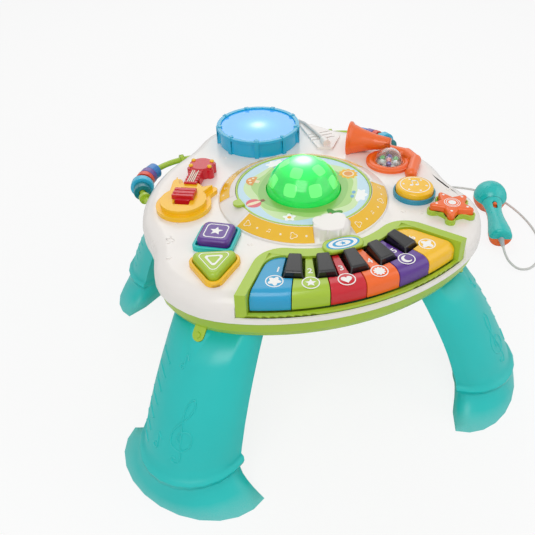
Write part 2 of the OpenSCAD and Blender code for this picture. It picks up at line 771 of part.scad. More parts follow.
module colour_key(i) at_table() difference() {
    union() {
        difference() {
            intersection() {
                key_block(0);
                linear_extrude(300) key_sector(i, 0);
            }
            intersection() {
                key_block(key_wall);
                linear_extrude(300) key_sector(i, key_wall);
            }
        }
        rotate([0, 0, key_angle(i)]) translate([colour_plunger_at, 0, plunger_z])
            cylinder(r = plunger_r, h = key_top - 1 - plunger_z, $fn = 32);
        tangent_rod(key_angle(i), barrel_r, colour_barrel);
        rotate([0, 0, key_angle(i)]) translate([pivot_r + barrel_r - 1.3, -colour_barrel / 2 + 0.4, pivot_z - 3])
            cube([key_back_r + 3 - pivot_r - barrel_r + 1.3, colour_barrel - 0.8, 6]);
    }
    tangent_rod(key_angle(i), pin_r + pin_fit, colour_barrel + 4);
}

module key_1() color(blue) colour_key(0);
module key_2() color(lime) colour_key(1);
module key_3() color(red) colour_key(2);
module key_4() color(orange) colour_key(3);
module key_5() color(purple) colour_key(4);
module key_6() color(yellow) colour_key(5);

module black_key(j) color(black) at_table() difference() {
    union() {
        translate([0, 0, black_bottom]) linear_extrude(black_top - black_bottom) black_plan(j, 0);
        rotate([0, 0, black_angle(j)]) translate([black_plunger_at, 0, plunger_z])
            cylinder(r = plunger_r, h = black_bottom + 2 - plunger_z, $fn = 32);
        tangent_rod(black_angle(j), barrel_r, black_barrel);
        rotate([0, 0, black_angle(j)]) translate([pivot_r + barrel_r - 1.3, -black_barrel / 2 + 0.4, pivot_z - 3])
            cube([black_from + 1 - pivot_r - barrel_r + 1.3, black_barrel - 0.8, 6]);
    }
    tangent_rod(black_angle(j), pin_r + pin_fit, black_barrel + 4);
    rotate([0, 0, black_angle(j)]) translate([black_from + 2, -black_half_front - 1, black_top])
        rotate([0, 7, 0]) cube([60, 2 * black_half_front + 2, 12]);
}

module black_key_1() black_key(0);
module black_key_2() black_key(1);
module black_key_3() black_key(2);
module black_key_4() black_key(3);
module black_key_5() black_key(4);

module contact_boards() color(board_green) at_table() {
    translate([0, 0, frame_floor + frame_wall]) linear_extrude(board_t) difference() {
        intersection() {
            wedge(-90 - key_half, -90 + key_half, -2);
            circle(176, $fn = 120);
        }
        circle(140, $fn = 120);
    }
    for (s = [-1, 1]) translate([s * side_board_at[0] - side_board[0] / 2,
        side_board_at[1] - side_board[1] / 2, side_board_z]) cube([side_board[0], side_board[1], board_t]);
}

module rubber_contacts() color("#5B5F63") at_table() {
    foot = frame_floor + frame_wall + board_t;
    for (i = [0:key_count - 1]) rotate([0, 0, key_angle(i)]) translate([colour_plunger_at, 0, foot])
        cylinder(r1 = 5, r2 = 3, h = contact_top - foot, $fn = 32);
    for (j = [0:black_count - 1]) rotate([0, 0, black_angle(j)]) translate([black_plunger_at, 0, foot])
        cylinder(r1 = 5, r2 = 3, h = contact_top - foot, $fn = 32);
    for (p = [round_at, star_at, square_at, triangle_at])
        translate([p[0], p[1], side_board_z + board_t])
            cylinder(r1 = 5, r2 = 3, h = switch_top - side_board_z - board_t, $fn = 32);
}

// ---------------------------------------------------------------- centre
module disc_rim() color(lime) at_table() {
    rotate_extrude($fn = 120) polygon([
        [hub_r, deck_top + fit], [hub_r + 2.6, deck_top + fit], [hub_r + 2.6, disc_z - 2],
        [well_r - 0.6 - rim_wall, disc_z - 2], [well_r - 0.6 - rim_wall, deck_top + fit],
        [well_r - 0.6, deck_top + fit], [well_r - 0.6, rim_top], [well_r - 0.6 - rim_wall, rim_top],
        [well_r - 0.6 - rim_wall, disc_z], [hub_r, disc_z]]);
    rotate([0, 0, tab_angle]) translate([0, 0, rim_top - 0.5]) difference() {
        union() {
            translate([well_r + 2, 0, 0]) cylinder(r = tab_r, h = 4.2, $fn = 48);
            translate([well_r - 4, -tab_r, 0]) cube([6, 2 * tab_r, 4.2]);
        }
        translate([0, 0, -1]) cylinder(r = well_r - 0.1 - rim_wall, h = 10, $fn = 120);
        translate([0, 0, -1]) difference() {
            cylinder(r = 130, h = 2.1);
            translate([0, 0, -1]) cylinder(r = well_r - 1.1, h = 5, $fn = 120);
        }
    }
}

module picture_disc() color("#A9D8E6") at_table() translate([0, 0, disc_z]) difference() {
    cylinder(r = well_r - 0.6 - rim_wall - 0.2, h = disc_t, $fn = 120);
    translate([0, 0, -1]) cylinder(r = dome_r + 1.4, h = disc_t + 2, $fn = 96);
}

module dome_lens() color("#2FE36A", 0.7) at_table() {
    ball_r = (dome_r * dome_r + dome_h * dome_h) / (2 * dome_h);
    ball_z = dome_base_z + dome_h - ball_r;
    inner_r = ball_r - dome_wall;
    start = asin((dome_base_z - ball_z) / ball_r);
    inner_start = asin((dome_base_z - ball_z) / inner_r);
    rotate_extrude($fn = 96) polygon(concat(
        [[flange_r, deck_top], [flange_r, deck_top + 2.5], [dome_r, deck_top + 2.5]],
        arc_points(0, ball_z, ball_r, start, 90, 12),
        arc_points(0, ball_z, inner_r, 90, inner_start, 12),
        [[inner_r * cos(inner_start), deck_top]]));
}

module led(p, z) translate([p[0], p[1], z]) {
    cylinder(r = 2.9, h = 1.2, $fn = 24);
    cylinder(r = 2.5, h = 4, $fn = 24);
    translate([0, 0, 4]) sphere(r = 2.5, $fn = 24);
}

module led_boards() color("#E9EDEE") at_table() {
    translate([0, 0, deck_top]) cylinder(r = 36, h = board_t);
    for (a = [0:90:270]) led(polar(20, a), deck_top + board_t - 0.2);
    translate([drum_at[0], drum_at[1], deck_top + 2]) difference() {
        cylinder(r = 32, h = board_t);
        translate([0, 0, -1]) cylinder(r = guide_r + 3, h = 5);
    }
    for (a = [45:90:315]) led(drum_at + polar(22, a), deck_top + 2 + board_t - 0.2);
}

// ---------------------------------------------------------------- drum
module drum_shell() color("#2BB7D8", 0.8) at_table() translate([drum_at[0], drum_at[1], deck_top]) {
    rotate_extrude($fn = 96) polygon([
        [guide_r + fit, 0], [drum_r, 0], [drum_r, drum_h - 5], [drum_r + hoop_out, drum_h - 4],
        [drum_r + hoop_out, drum_h], [drum_r - drum_wall, drum_h], [drum_r - drum_wall, 2],
        [guide_r + fit + 2, 2], [guide_r + fit + 2, 12], [guide_r + fit, 12]]);
    for (i = [0:drum_lugs - 1]) rotate([0, 0, (i + 0.5) * 360 / drum_lugs - 90])
        translate([drum_r - 0.5, -lug_w / 2, 0.5]) {
            cube([lug_d + 0.5, lug_w, drum_h + 0.1]);
            translate([-1.5, lug_w / 2, drum_h - 0.5 - skin_drop + fit])
                cylinder(r = lug_w / 2, h = skin_drop + 1, $fn = 24);
        }
}

module drum_skin() color("#7CC4F2", 0.8) at_table() translate([drum_at[0], drum_at[1], deck_top]) {
    top = drum_h - skin_drop;
    edge = drum_r - drum_wall - slide_fit;
    rotate_extrude($fn = 96) polygon([
        [0, skin_travel + 0.4], [guide_r, skin_travel + 0.4], [guide_r, top - skin_t],
        [edge - 2, top - skin_t], [edge - 2, top - skin_skirt], [edge, top - skin_skirt],
        [edge, top], [0, top]]);
}

// ---------------------------------------------------------------- guitar
module guitar_place() translate([guitar_at[0], guitar_at[1], deck_top]) rotate([0, 0, guitar_turn]) children();

module guitar_plan(d) {
    translate([-2, 0]) circle(33 - d, $fn = 72);
    translate([20, 0]) circle(23 - d);
    rounded_poly([[18, 8], [47, 21], [18, 18]], 6 - d);
    rounded_poly([[10, -16], [33, -27], [24, -10]], 6 - d);
}

module guitar_body() color(yellow) at_table() guitar_place() difference() {
    union() {
        linear_extrude(guitar_low) guitar_plan(0);
        linear_extrude(guitar_high) guitar_plan(5.5);
    }
    translate([-14, -slider_half - 0.4, 4]) cube([slider_len + 2 * slider_travel + 4, 2 * slider_half + 0.8, 20]);
}

module guitar_slider() color(red) at_table() guitar_place() difference() {
    translate([-14 + slider_travel + 2, -slider_half, 4 + fit]) union() {
        cube([slider_len, 2 * slider_half, 9]);
        translate([2, -4, guitar_high - 4 + 0.2]) cube([slider_len - 4, 2 * slider_half + 8, 6]);
    }
    for (u = [0:2]) translate([u * 7 - 1, -20, guitar_high + 6.4 - 1]) cube([2, 40, 5]);
}

module guitar_neck() color(red) at_table() guitar_place() {
    difference() {
        translate([31, -neck_half, 0]) cube([head_at[0] - 38, 2 * neck_half, guitar_high + 3]);
        translate([-10, -40, -1]) difference() {
            cube([60, 80, guitar_high + 1.2]);
            translate([60 - 4, 0, -1]) cube([30, 80, 30]);
        }
        for (u = [36:6:60]) translate([u, -20, guitar_high + 1.5]) cube([2.4, 40, 5]);
    }
    translate([head_at[0], head_at[1], 0]) {
        cylinder(r = head_r, h = guitar_high + 4);
        for (a = [-120, -60, 0, 60, 120]) rotate([0, 0, a]) translate([head_r - 1, 0, 0])
            cylinder(r = 5, h = guitar_high + 1, $fn = 32);
    }
}

// ---------------------------------------------------------------- horn
module horn() color(orange) at_table() difference() {
    union() {
        translate([horn_at[0], horn_at[1], deck_top]) {
            rotate_extrude() translate([loop_r, 0]) difference() {
                circle(loop_tube_r, $fn = 40);
                translate([-20, -20]) square([40, 20]);
            }
            rotate_extrude() translate([loop_r - loop_tube_r, 0]) square([2 * loop_tube_r, 4]);
        }
        translate([bell_from[0], bell_from[1], bell_z]) rotate([0, 90, bell_turn])
            rotate_extrude() polygon([
                [0, 14], [bell_r - 5, 3], [bell_r - 1.2, 0], [bell_r, 0], [bell_r, 2.5], [bell_r - 3.5, 6],
                [bell_r - 8, 18], [throat_r + 3, 36], [throat_r, bell_len], [0, bell_len]]);
        for (leg = [[[149, 56], [166, 40]], [[166, 40], [168, 20]], [[168, 20], horn_tip]])
            horn_run(leg[0], leg[1]);
        translate([horn_tip[0], horn_tip[1], deck_top + 6]) sphere(r = 8, $fn = 40);
    }
    translate([0, -100, deck_top - 60]) cube([300, 400, 60]);
    translate([bell_from[0], bell_from[1], bell_z]) rotate([0, 90, bell_turn]) translate([0, 0, -1])
        cylinder(r1 = bell_r - bell_wall - 0.6, r2 = throat_r, h = 20);
    translate([horn_at[0], horn_at[1], deck_top - 1]) cylinder(r = rattle_r + 0.15, h = 20);
}

module horn_run(a, b) let (d = b - a, turn = atan2(d[1], d[0])) {
    translate([a[0], a[1], deck_top + 6]) rotate([0, 90, turn])
        cylinder(r1 = throat_r, r2 = throat_r - 0.5, h = norm(d), $fn = 40);
    translate([a[0], a[1], deck_top + 6]) sphere(r = throat_r, $fn = 40);
    translate([b[0], b[1], deck_top + 6]) sphere(r = throat_r, $fn = 40);
}

module rattle_dome() color("#E8F0F2", 0.4) at_table() translate([horn_at[0], horn_at[1], deck_top])
    rotate_extrude() polygon(concat([[rattle_r, 0]], arc_points(0, 3, rattle_r, 0, 90, 10),
        arc_points(0, 3, rattle_r - 1.6, 90, 0, 10), [[rattle_r - 1.6, 0]]));

module rattle_beads() color(red) at_table() translate([horn_at[0], horn_at[1], deck_top]) {
    for (i = [0:5]) rotate([0, 0, i * 60]) translate([10.6, 0, 3.7]) sphere(r = 3.7, $fn = 24);
    translate([0, 0, 3.7]) sphere(r = 3.7, $fn = 24);
}

// ---------------------------------------------------------------- push buttons
module round_plan(d) circle(round_r - d);
module star_plan(d) rotate([0, 0, star_turn]) {
    polygon([for (i = [0:9]) polar(i % 2 == 0 ? star_out - star_tip_r - d * 0.4 : star_in - d, i * 36)]);
    for (i = [0:4]) rotate([0, 0, i * 72]) {
        translate([star_out - star_tip_r, 0]) circle(star_tip_r - d, $fn = 40);
        translate([star_in - 1, 0]) square([12, 2 * (star_tip_r - d)], center = true);
    }
}
module square_plan(d) rotate([0, 0, square_turn]) let (h = square_half - square_corner)
    rounded_poly([[-h, -h], [h, -h], [h, h], [-h, h]], square_corner - d);
module triangle_plan(d) rotate([0, 0, triangle_turn])
    rounded_poly([for (i = [0:2]) polar(triangle_r, i * 120)], triangle_corner - d);

// Base: a shallow cup with a sleeve through the deck. Children: the outline, then the pocket's outline.
module button_base(p) at_table() translate([p[0], p[1], deck_top]) difference() {
    union() {
        linear_extrude(base_h) children(0);
        translate([0, 0, -7]) cylinder(r = stem_r + fit + sleeve_wall, h = 8, $fn = 32);
    }
    translate([0, 0, base_floor]) linear_extrude(20) children(1);
    translate([0, 0, -8]) cylinder(r = stem_r + fit, h = 20, $fn = 32);
}

// Cap: a block with a stepped crown and a stem. Children: the outline, then the crown's outline.
module button_cap(p) at_table() translate([p[0], p[1], deck_top]) {
    translate([0, 0, cap_low]) linear_extrude(cap_h - 1.6 - cap_low) children(0);
    translate([0, 0, cap_low]) linear_extrude(cap_h - cap_low) children(1);
    translate([0, 0, stem_low - deck_top]) cylinder(r = stem_r, h = cap_low + 1 - stem_low + deck_top, $fn = 32);
}

cap_in = base_wall + slide_fit;
block_in = block_wall + slide_fit;
crown_step = 1.6;
module round_base() color("#1C9DB8") button_base(round_at) { round_plan(0); round_plan(base_wall); }
module star_base() color(lime) button_base(star_at) { star_plan(0); star_plan(base_wall); }
module square_base() color(teal) button_base(square_at) { square_plan(0); square_plan(block_wall); }
module triangle_base() color(yellow) button_base(triangle_at) { triangle_plan(0); triangle_plan(block_wall); }
module round_cap() color(yellow) button_cap(round_at) { round_plan(cap_in); round_plan(cap_in + crown_step); }
module star_cap() color(orange) button_cap(star_at) { star_plan(cap_in); star_plan(cap_in + crown_step); }
module square_cap() color(purple) button_cap(square_at) { square_plan(block_in); square_plan(block_in + crown_step); }
module triangle_cap() color(lime) button_cap(triangle_at) { triangle_plan(block_in); triangle_plan(block_in + crown_step); }

// ---------------------------------------------------------------- bead bars
module bar_place(side) mirror([side > 0 ? 1 : 0, 0, 0]) translate([bar_mid[0], bar_mid[1], bar_z]) children();

module bead_bars() color(lime) at_table() for (side = [0, 1]) difference() {
    bar_place(side) {
        rotate([0, 0, bar_from]) rotate_extrude(angle = bar_to - bar_from, $fn = 120)
            translate([bar_bend_r, 0]) circle(bar_r, $fn = 32);
        for (a = clip_at) rotate([0, 0, a]) rotate_extrude(angle = 4, $fn = 120)
            translate([bar_bend_r, 0]) circle(clip_r, $fn = 32);
    }
    deck_solid(-0.1);
    case_shell(-0.1);
}

module bead(a, r, w) rotate([0, 0, a]) rotate_extrude(angle = w / bar_bend_r * 57.3 - 0.4, $fn = 120)
    translate([bar_bend_r, 0]) difference() {
        circle(r, $fn = 40);
        circle(bar_r + bead_gap, $fn = 32);
    }

module beads(side) at_table() bar_place(side) for (b = bead_list) bead(b[0], b[1], b[2]);
module left_beads() color(purple) beads(0);
module right_beads() color(purple) beads(1);

// ---------------------------------------------------------------- microphone
module mic_place() translate([mic_at[0], mic_at[1], mic_head_r - mic_head_s * sin(mic_tilt)])
    rotate([0, 0, mic_turn]) rotate([0, 90 - mic_tilt, 0]) children();

mic_profile = concat(
    [[0, 0], [mic_tail_r - 6, 0]],
    arc_points(mic_tail_r - 6, 6, 6, -60, 0, 3),
    [[mic_tail_r, 18], [mic_tail_r - 2.2, 32], [mic_waist_r + 1, 52], [mic_waist_r, 66], [mic_waist_r + 0.6, 80],
        [mic_neck_r, 94]],
    arc_points(0, mic_head_s, mic_head_r, -50, 65, 10),
    [[0, mic_head_s + mic_head_r * sin(65)]]);

module mic_solid() rotate_extrude($fn = 72) polygon(mic_profile);
module mic_hollow() rotate_extrude($fn = 72) polygon(concat(
    [[0, 4], [mic_waist_r - mic_wall, 4], [mic_waist_r - mic_wall, 84], [mic_neck_r - mic_wall, 95]],
    arc_points(0, mic_head_s, mic_head_r - mic_wall, -47, 62, 10),
    [[0, mic_head_s + (mic_head_r - mic_wall) * sin(62)]]));
module mic_half(upper) difference() {
    mic_solid();
    mic_hollow();
    translate([upper ? 0 : -100, -100, -10]) cube([100, 200, 300]);
    switch_slot();
}
module switch_slot() translate([-mic_neck_r - 8, 0, switch_at]) rotate([0, 90, 0]) {
    for (s = [-1, 1]) translate([s * 5, 0, 0]) cylinder(r = 4, h = 16, $fn = 32);
    translate([-5, -4, 0]) cube([10, 8, 16]);
}
module mic_front() color(teal) at_table() mic_place() mic_half(true);
module mic_back() color(orange) at_table() mic_place() mic_half(false);

module mic_cap() color(orange) at_table() mic_place() {
    low = mic_head_r * sin(65) + 0.05;
    cap_r = mic_head_r - 0.2;
    rotate_extrude($fn = 72) polygon(concat([[0, mic_head_s + low]],
        arc_points(0, mic_head_s, cap_r, asin(low / cap_r), 90, 5)));
}

module mic_switch() color(orange) at_table() mic_place()
    translate([-mic_waist_r - 1.8, 0, switch_at + 2]) rotate([0, 90, 0]) {
        cylinder(r = 3.4, h = 6, $fn = 32);
        linear_extrude(3, center = true) polygon([for (i = [0:9]) polar(i % 2 == 0 ? 3.6 : 2, i * 36)]);
        translate([-5.4, -3, 4.6]) cube([10.8, 6, 1.4]);
    }

module mic_relief() color("#B8BDC0") at_table() mic_place() translate([0, 0, -relief_len])
    cylinder(r1 = cord_d / 2 + relief_rim, r2 = relief_r, h = relief_len);

// ---------------------------------------------------------------- cord
function smooth(a, b, c, d, t) = 0.5 * (2 * b + (c - a) * t + (2 * a - 5 * b + 4 * c - d) * t * t
    + (3 * b - a - 3 * c + d) * t * t * t);
function route_point(i, t) = let (n = len(cord_route) - 1) smooth(
    cord_route[max(0, i - 1)], cord_route[i], cord_route[i + 1], cord_route[min(n, i + 2)], t);
route_line = concat(
    [for (i = [0:len(cord_route) - 2])
        let (n = max(1, round(norm(cord_route[i + 1] - cord_route[i]) / (cord_steps * cord_d * 1.5))))
        for (k = [0:n - 1]) route_point(i, k / n)],
    [cord_route[len(cord_route) - 1]]);
function unit(v) = v / norm(v);
function route_frame(i) = let (
    n = len(route_line) - 1,
    along = unit(route_line[min(n, i + 1)] - route_line[max(0, i - 1)]),
    side = unit(cross(along, abs(along[0]) < 0.7 ? [1, 0, 0] : [0, 1, 0])))
    [side, cross(along, side)];

module mic_cord() color("#C9C9C6") at_table() skin([for (i = [0:len(route_line) - 1])
    let (f = route_frame(i)) [for (k = [0:7]) let (a = k * 45)
        route_line[i] + cord_d / 2 * (cos(a) * f[0] + sin(a) * f[1])]]);

bottom_case();
top_shell();
leg_front_left();
leg_front_right();
leg_back_left();
leg_back_right();
leg_lock_buttons();
case_screws();
battery_door();
battery_door_screw();
batteries();
battery_contacts();
main_board();
speaker();
speaker_cone();
speaker_panel();
keyboard_frame();
key_1();
key_2();
key_3();
key_4();
key_5();
key_6();
black_key_1();
black_key_2();
black_key_3();
black_key_4();
black_key_5();
contact_boards();
rubber_contacts();
light_ring();
picture_disc();
disc_rim();
dome_lens();
led_boards();
drum_shell();
drum_skin();
guitar_body();
guitar_neck();
guitar_slider();
horn();
rattle_dome();
rattle_beads();
round_base();
star_base();
square_base();
triangle_base();
round_cap();
star_cap();
square_cap();
triangle_cap();
bead_bars();
left_beads();
right_beads();
mic_front();
mic_back();
mic_cap();
mic_switch();
mic_relief();
mic_cord();
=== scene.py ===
"""Musical activity table: finishes, prints, reliefs, lamps and stage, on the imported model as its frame."""

import json
from functools import partial
from math import atan2, cos, pi, radians, sin, sqrt

import bmesh
import bpy
from mathutils import Matrix, Vector
from mathutils.bvhtree import BVHTree

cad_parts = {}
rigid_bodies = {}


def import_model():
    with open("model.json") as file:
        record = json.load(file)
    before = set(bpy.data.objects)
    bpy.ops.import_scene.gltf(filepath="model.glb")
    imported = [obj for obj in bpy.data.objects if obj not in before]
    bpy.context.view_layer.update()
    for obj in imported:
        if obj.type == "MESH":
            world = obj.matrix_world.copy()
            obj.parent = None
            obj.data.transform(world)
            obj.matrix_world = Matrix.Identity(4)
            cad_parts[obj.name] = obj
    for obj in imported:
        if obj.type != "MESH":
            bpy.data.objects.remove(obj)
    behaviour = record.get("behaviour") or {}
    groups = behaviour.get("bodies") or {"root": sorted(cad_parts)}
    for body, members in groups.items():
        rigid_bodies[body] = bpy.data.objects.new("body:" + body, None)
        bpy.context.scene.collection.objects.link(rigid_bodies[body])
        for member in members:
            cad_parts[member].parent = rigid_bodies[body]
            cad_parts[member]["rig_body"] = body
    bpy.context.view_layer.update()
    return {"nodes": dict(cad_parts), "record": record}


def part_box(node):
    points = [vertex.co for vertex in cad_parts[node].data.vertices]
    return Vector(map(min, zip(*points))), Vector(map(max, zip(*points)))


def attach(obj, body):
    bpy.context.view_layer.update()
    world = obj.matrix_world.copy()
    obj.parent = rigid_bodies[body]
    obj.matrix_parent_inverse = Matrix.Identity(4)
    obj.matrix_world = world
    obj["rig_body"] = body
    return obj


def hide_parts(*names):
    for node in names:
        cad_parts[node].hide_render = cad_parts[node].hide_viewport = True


bl_info = {
    "name": "Musical Activity Table",
    "version": (1, 0, 0),
    "blender": (4, 5, 0),
    "location": "View3D > Sidebar > Table",
    "description": "Builds the visible pieces of a toddler's musical activity table",
    "category": "Object",
}

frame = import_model()
MM = 0.001

# Axis of the picture disc in the frame; the sizes below are millimetres from it, as in the source
DISC_AXIS = Vector((-99.6, -14.2, 0.0))
DRUM = (-6.0, 165.0)
ROUND = (129.0, -47.0)
STAR = (150.0, -98.0)
SQUARE = (-124.0, -55.0)
TRIANGLE = (-139.0, -103.0)
LABEL_Y = -119.5
BAR_MIDDLE = (109.0, 113.0, 214.0)

# Guitar: its place and turn, then the head's middle along and across it and the radius of its pegs
GUITAR = (-143.0, 28.0, 63.0)
GUITAR_HEAD = (78.0, -3.0, 14.0)

# Legs: their directions from a middle line beside the axis
LEGS = ("leg_front_left", "leg_front_right", "leg_back_left", "leg_back_right")
LEG_ANGLES = (-140.6, -39.4, 128.7, 51.3)
LEGS_MID_X = -9.0

# Heights of the deck's face, the button caps' lower edge, their stems' foot and the keyboard's border
DECK_TOP = 237.0
CAP_LOW = 242.1
STEM_LOW = 226.0
BORDER_TOP = 243.5
ABOVE_KEYS = 260.0

# Keyboard in plan: the keys' pitch and half fan in degrees, back edges, and the border beside the outer keys
KEY_PITCH = 12.35
KEY_HALF = 37.05
KEY_BACK_R = 131.4
FRAME_BACK_R = 118.0
BORDER_OUT = 11.8
BORDER_IN = 0.8

# Light dome's ball: its radius and the height of its middle
DOME_BALL = 45.64
DOME_MID = 242.36

# Microphone: its turn, the place of its tail, its tilt, and its head's radius and distance from the tail
MIC_TURN = 65.0
MIC_TAIL = (390.0, 71.0)
MIC_TILT = 5.284
MIC_HEAD_R = 30.0
MIC_HEAD_S = 120.0

CORD_ROUTE = [
    (76, 122, 243), (75.2, 134, 243), (74.2, 150, 242.6), (72.8, 167, 242.3), (71.4, 180, 242.2),
    (70, 188, 241), (69.2, 194, 239.5), (69.4, 199.7, 238.3), (71, 205.4, 235), (72.4, 209.8, 229.6),
    (73.3, 212.1, 222.7), (73.6, 212.8, 214), (73.6, 213, 195), (73.2, 213.2, 170), (72.2, 213.6, 130),
    (71, 214.5, 90), (69, 218, 50), (67, 228, 18), (67, 246, 3.6), (78, 270, 2.3), (110, 292, 2.3),
    (154, 310, 2.3), (206, 317, 2.3), (262, 311, 2.3), (318, 300, 2.3), (372, 288, 2.3), (424, 270, 2.3),
    (464, 238, 2.3), (484, 192, 2.3), (487, 142, 2.3), (478, 92, 2.3), (458, 48, 2.3), (430, 18, 2.3),
    (402, 4, 2.3), (382, 8, 4), (374, 22, 9.5), (375, 36, 14), (379.5, 48.6, 16.6), (382.3, 54.6, 17.3),
]


def at(x, y, z=0.0):
    """A point in the table's millimetres as a point of the frame in metres."""
    return (DISC_AXIS + Vector((x, y, z))) * MM


def polar(radius, angle):
    return radius * cos(radians(angle)), radius * sin(radians(angle))


def seat(x, y, z=0.0, turn=0.0, tilt=0.0, axis="X", unit=1.0):
    """A place of the table, turned in plan, then tilted about its own axis, for shapes in the given unit."""
    place = Matrix.Translation(at(x, y, z)) @ Matrix.Rotation(radians(turn), 4, "Z")
    return place @ Matrix.Rotation(radians(tilt), 4, axis) @ Matrix.Scale(unit, 4)


def linear(value):
    """An sRGB hex colour as linear red, green, blue and an alpha of one."""
    parts = [int(value[i : i + 2], 16) / 255 for i in (1, 3, 5)]
    return [p / 12.92 if p <= 0.04045 else ((p + 0.055) / 1.055) ** 2.4 for p in parts] + [1.0]


def smooth_path(points, steps):
    """Points along a Catmull-Rom curve through the given ones."""
    points = [Vector(p) for p in points]
    ends = [2 * points[0] - points[1], *points, 2 * points[-1] - points[-2]]
    path = []
    for a, b, c, d in zip(ends, ends[1:], ends[2:], ends[3:]):
        for k in range(steps):
            t = k / steps
            bend = (2 * a - 5 * b + 4 * c - d) * t**2 + (3 * b - 3 * c + d - a) * t**3
            path.append(0.5 * (2 * b + (c - a) * t + bend))
    return path + [points[-1]]


# Finishes


def emptied(owner):
    """A material's or a world's node tree with nothing in it."""
    owner.use_nodes = True
    owner.node_tree.nodes.clear()
    return owner.node_tree


def add_node(tree, kind, links=(), **settings):
    """A shader node with its settings, and its sockets' values or what feeds them: a socket or a node."""
    node = tree.nodes.new("ShaderNode" + kind)
    for name, value in settings.items():
        setattr(node, name, value)
    for socket, value in dict(links).items():
        if isinstance(value, bpy.types.Node):
            value = value.outputs[0]
        if isinstance(value, bpy.types.NodeSocket):
            tree.links.new(value, node.inputs[socket])
        else:
            node.inputs[socket].default_value = value
    return node


def finish(name, colour, rough, grain, relief, mottle=0.04, scuff=0.0, glow=0.0, core=None, **shader):
    """A moulded or pressed surface: fine grain and its relief in mm, and slow changes of colour and sheen.

    scuff is the height in mm up to which feet and corners are rubbed dull. core is the middle, the reach in
    mm and the strength of a lamp behind the surface. Other words are the shader's own sockets."""
    if name in bpy.data.materials:
        return bpy.data.materials[name]
    material = bpy.data.materials.new(name)
    add = partial(add_node, emptied(material))
    place = add("TexCoord").outputs["Object"]
    fine = add("TexNoise", {"Vector": place, "Scale": 1000 / grain, "Detail": 3.0})
    broad = add("TexNoise", {"Vector": place, "Scale": 22.0, "Detail": 2.0})
    dull = [c * (1 - mottle) for c in colour[:3]] + [1.0]
    bright = [min(1.0, c * (1 + mottle)) for c in colour[:3]] + [1.0]
    mixed = add("Mix", {0: broad, 6: dull, 7: bright}, data_type="RGBA").outputs[2]
    sheen = add("MapRange", {"Value": broad, "To Min": rough * 0.8, "To Max": rough * 1.25})
    if scuff:
        height = add("SeparateXYZ", {"Vector": place}).outputs["Z"]
        low = add("MapRange", {"Value": height, "From Max": scuff * MM, "To Min": 1.0, "To Max": 0.0})
        rubbed = add("Math", {0: low, 1: fine}, operation="MULTIPLY")
        pale = [0.65 * c + 0.3 for c in colour[:3]] + [1.0]
        mixed = add("Mix", {0: rubbed, 6: mixed, 7: pale}, data_type="RGBA").outputs[2]
        sheen = add("Math", {0: sheen, 1: rubbed}, operation="ADD")
    bump = add("Bump", {"Height": fine, "Strength": 0.5, "Distance": relief * MM})
    links = {"Base Color": mixed, "Roughness": sheen, "Normal": bump, **shader}
    if glow:
        links["Emission Color"] = mixed
        links["Emission Strength"] = glow
    if core:
        (x, y, z), reach, light = core
        middle = add("VectorMath", {0: place, 1: at(x, y, z)}, operation="DISTANCE")
        fall = {"Value": middle.outputs["Value"], "From Max": reach * MM, "To Min": 1.0, "To Max": 0.0}
        near = add("MapRange", fall, interpolation_type="SMOOTHSTEP")
        hot = add("Math", {0: near, 1: 5.0}, operation="POWER")
        whitened = add("Mix", {0: hot, 6: mixed, 7: linear("#FFFFFF")}, data_type="RGBA")
        links["Emission Color"] = whitened.outputs[2]
        links["Emission Strength"] = add("MapRange", {"Value": near, "To Min": glow, "To Max": light})
    shader_node = add("BsdfPrincipled", links)
    add("OutputMaterial", {"Surface": shader_node})
    return material


def gloss_abs(name, colour):
    """High-gloss ABS from a polished mould: a clean highlight with faint flow marks."""
    return finish("abs_" + name, colour, 0.24, 1.4, 0.012, IOR=1.54, **{"Coat Weight": 0.06})


def satin_abs(name, colour, scuff=0.0):
    """Satin ABS from a lightly etched mould: a broad soft highlight on a grain drawn at 0.9 mm to show."""
    return finish("satin_abs_" + name, colour, 0.36, 0.9, 0.03, scuff=scuff, IOR=1.54)


def tinted_polycarbonate(name, colour, glow, core=None, clear=0.45):
    """Tinted clear polycarbonate: light passes and spreads, with a sharp highlight on the outside."""
    return finish(
        "polycarbonate_" + name, colour, 0.12, 3.0, 0.01, glow=glow, core=core, IOR=1.585,
        **{"Transmission Weight": clear},
    )


def print_ink(name, colour):
    """Pad-printed ink: an even matt film on the plastic."""
    return finish("ink_" + name, colour, 0.5, 0.5, 0.006, mottle=0.015)


# Meshes

# Points closer than MERGE mm become one, as do faces within FLAT degrees; edges past SHARP get rounded
MERGE = 0.002
FLAT = 0.5
SHARP = 38.0


def island_groups(bm):
    """The separate shells of a mesh, as lists of faces."""
    left = set(bm.faces)
    groups = []
    while left:
        front = {left.pop()}
        group = list(front)
        while front:
            front = {f for g in front for e in g.edges for f in e.link_faces} & left
            left -= front
            group += front
        groups.append(group)
    return groups


def middle_of(faces):
    return sum((f.calc_center_median() for f in faces), Vector()) / len(faces)


def deliver(bm, name, materials, body, angle=32.0, stands_for=()):
    """A finished mesh as a piece that rides on a body, smooth where its faces meet at less than the angle."""
    mesh = bpy.data.meshes.new(name)
    for face in bm.faces:
        face.smooth = True
    bm.to_mesh(mesh)
    bm.free()
    for material in materials if isinstance(materials, (list, tuple)) else [materials]:
        mesh.materials.append(material)
    mesh.set_sharp_from_angle(angle=radians(angle))
    piece = shown(mesh)
    flats = piece.modifiers.new("Flat faces stay flat", "WEIGHTED_NORMAL")
    flats.keep_sharp = True
    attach(piece, body)
    if stands_for:
        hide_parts(*stands_for)
    return piece


def material_slot(node):
    return next(s["material_slot"] for s in frame["record"]["subparts"] if s["node"] == node)


def shown(data):
    """An object in the scene for a mesh, a curve, a light or a camera."""
    holder = bpy.data.objects.new(data.name, data)
    bpy.context.scene.collection.objects.link(holder)
    return holder


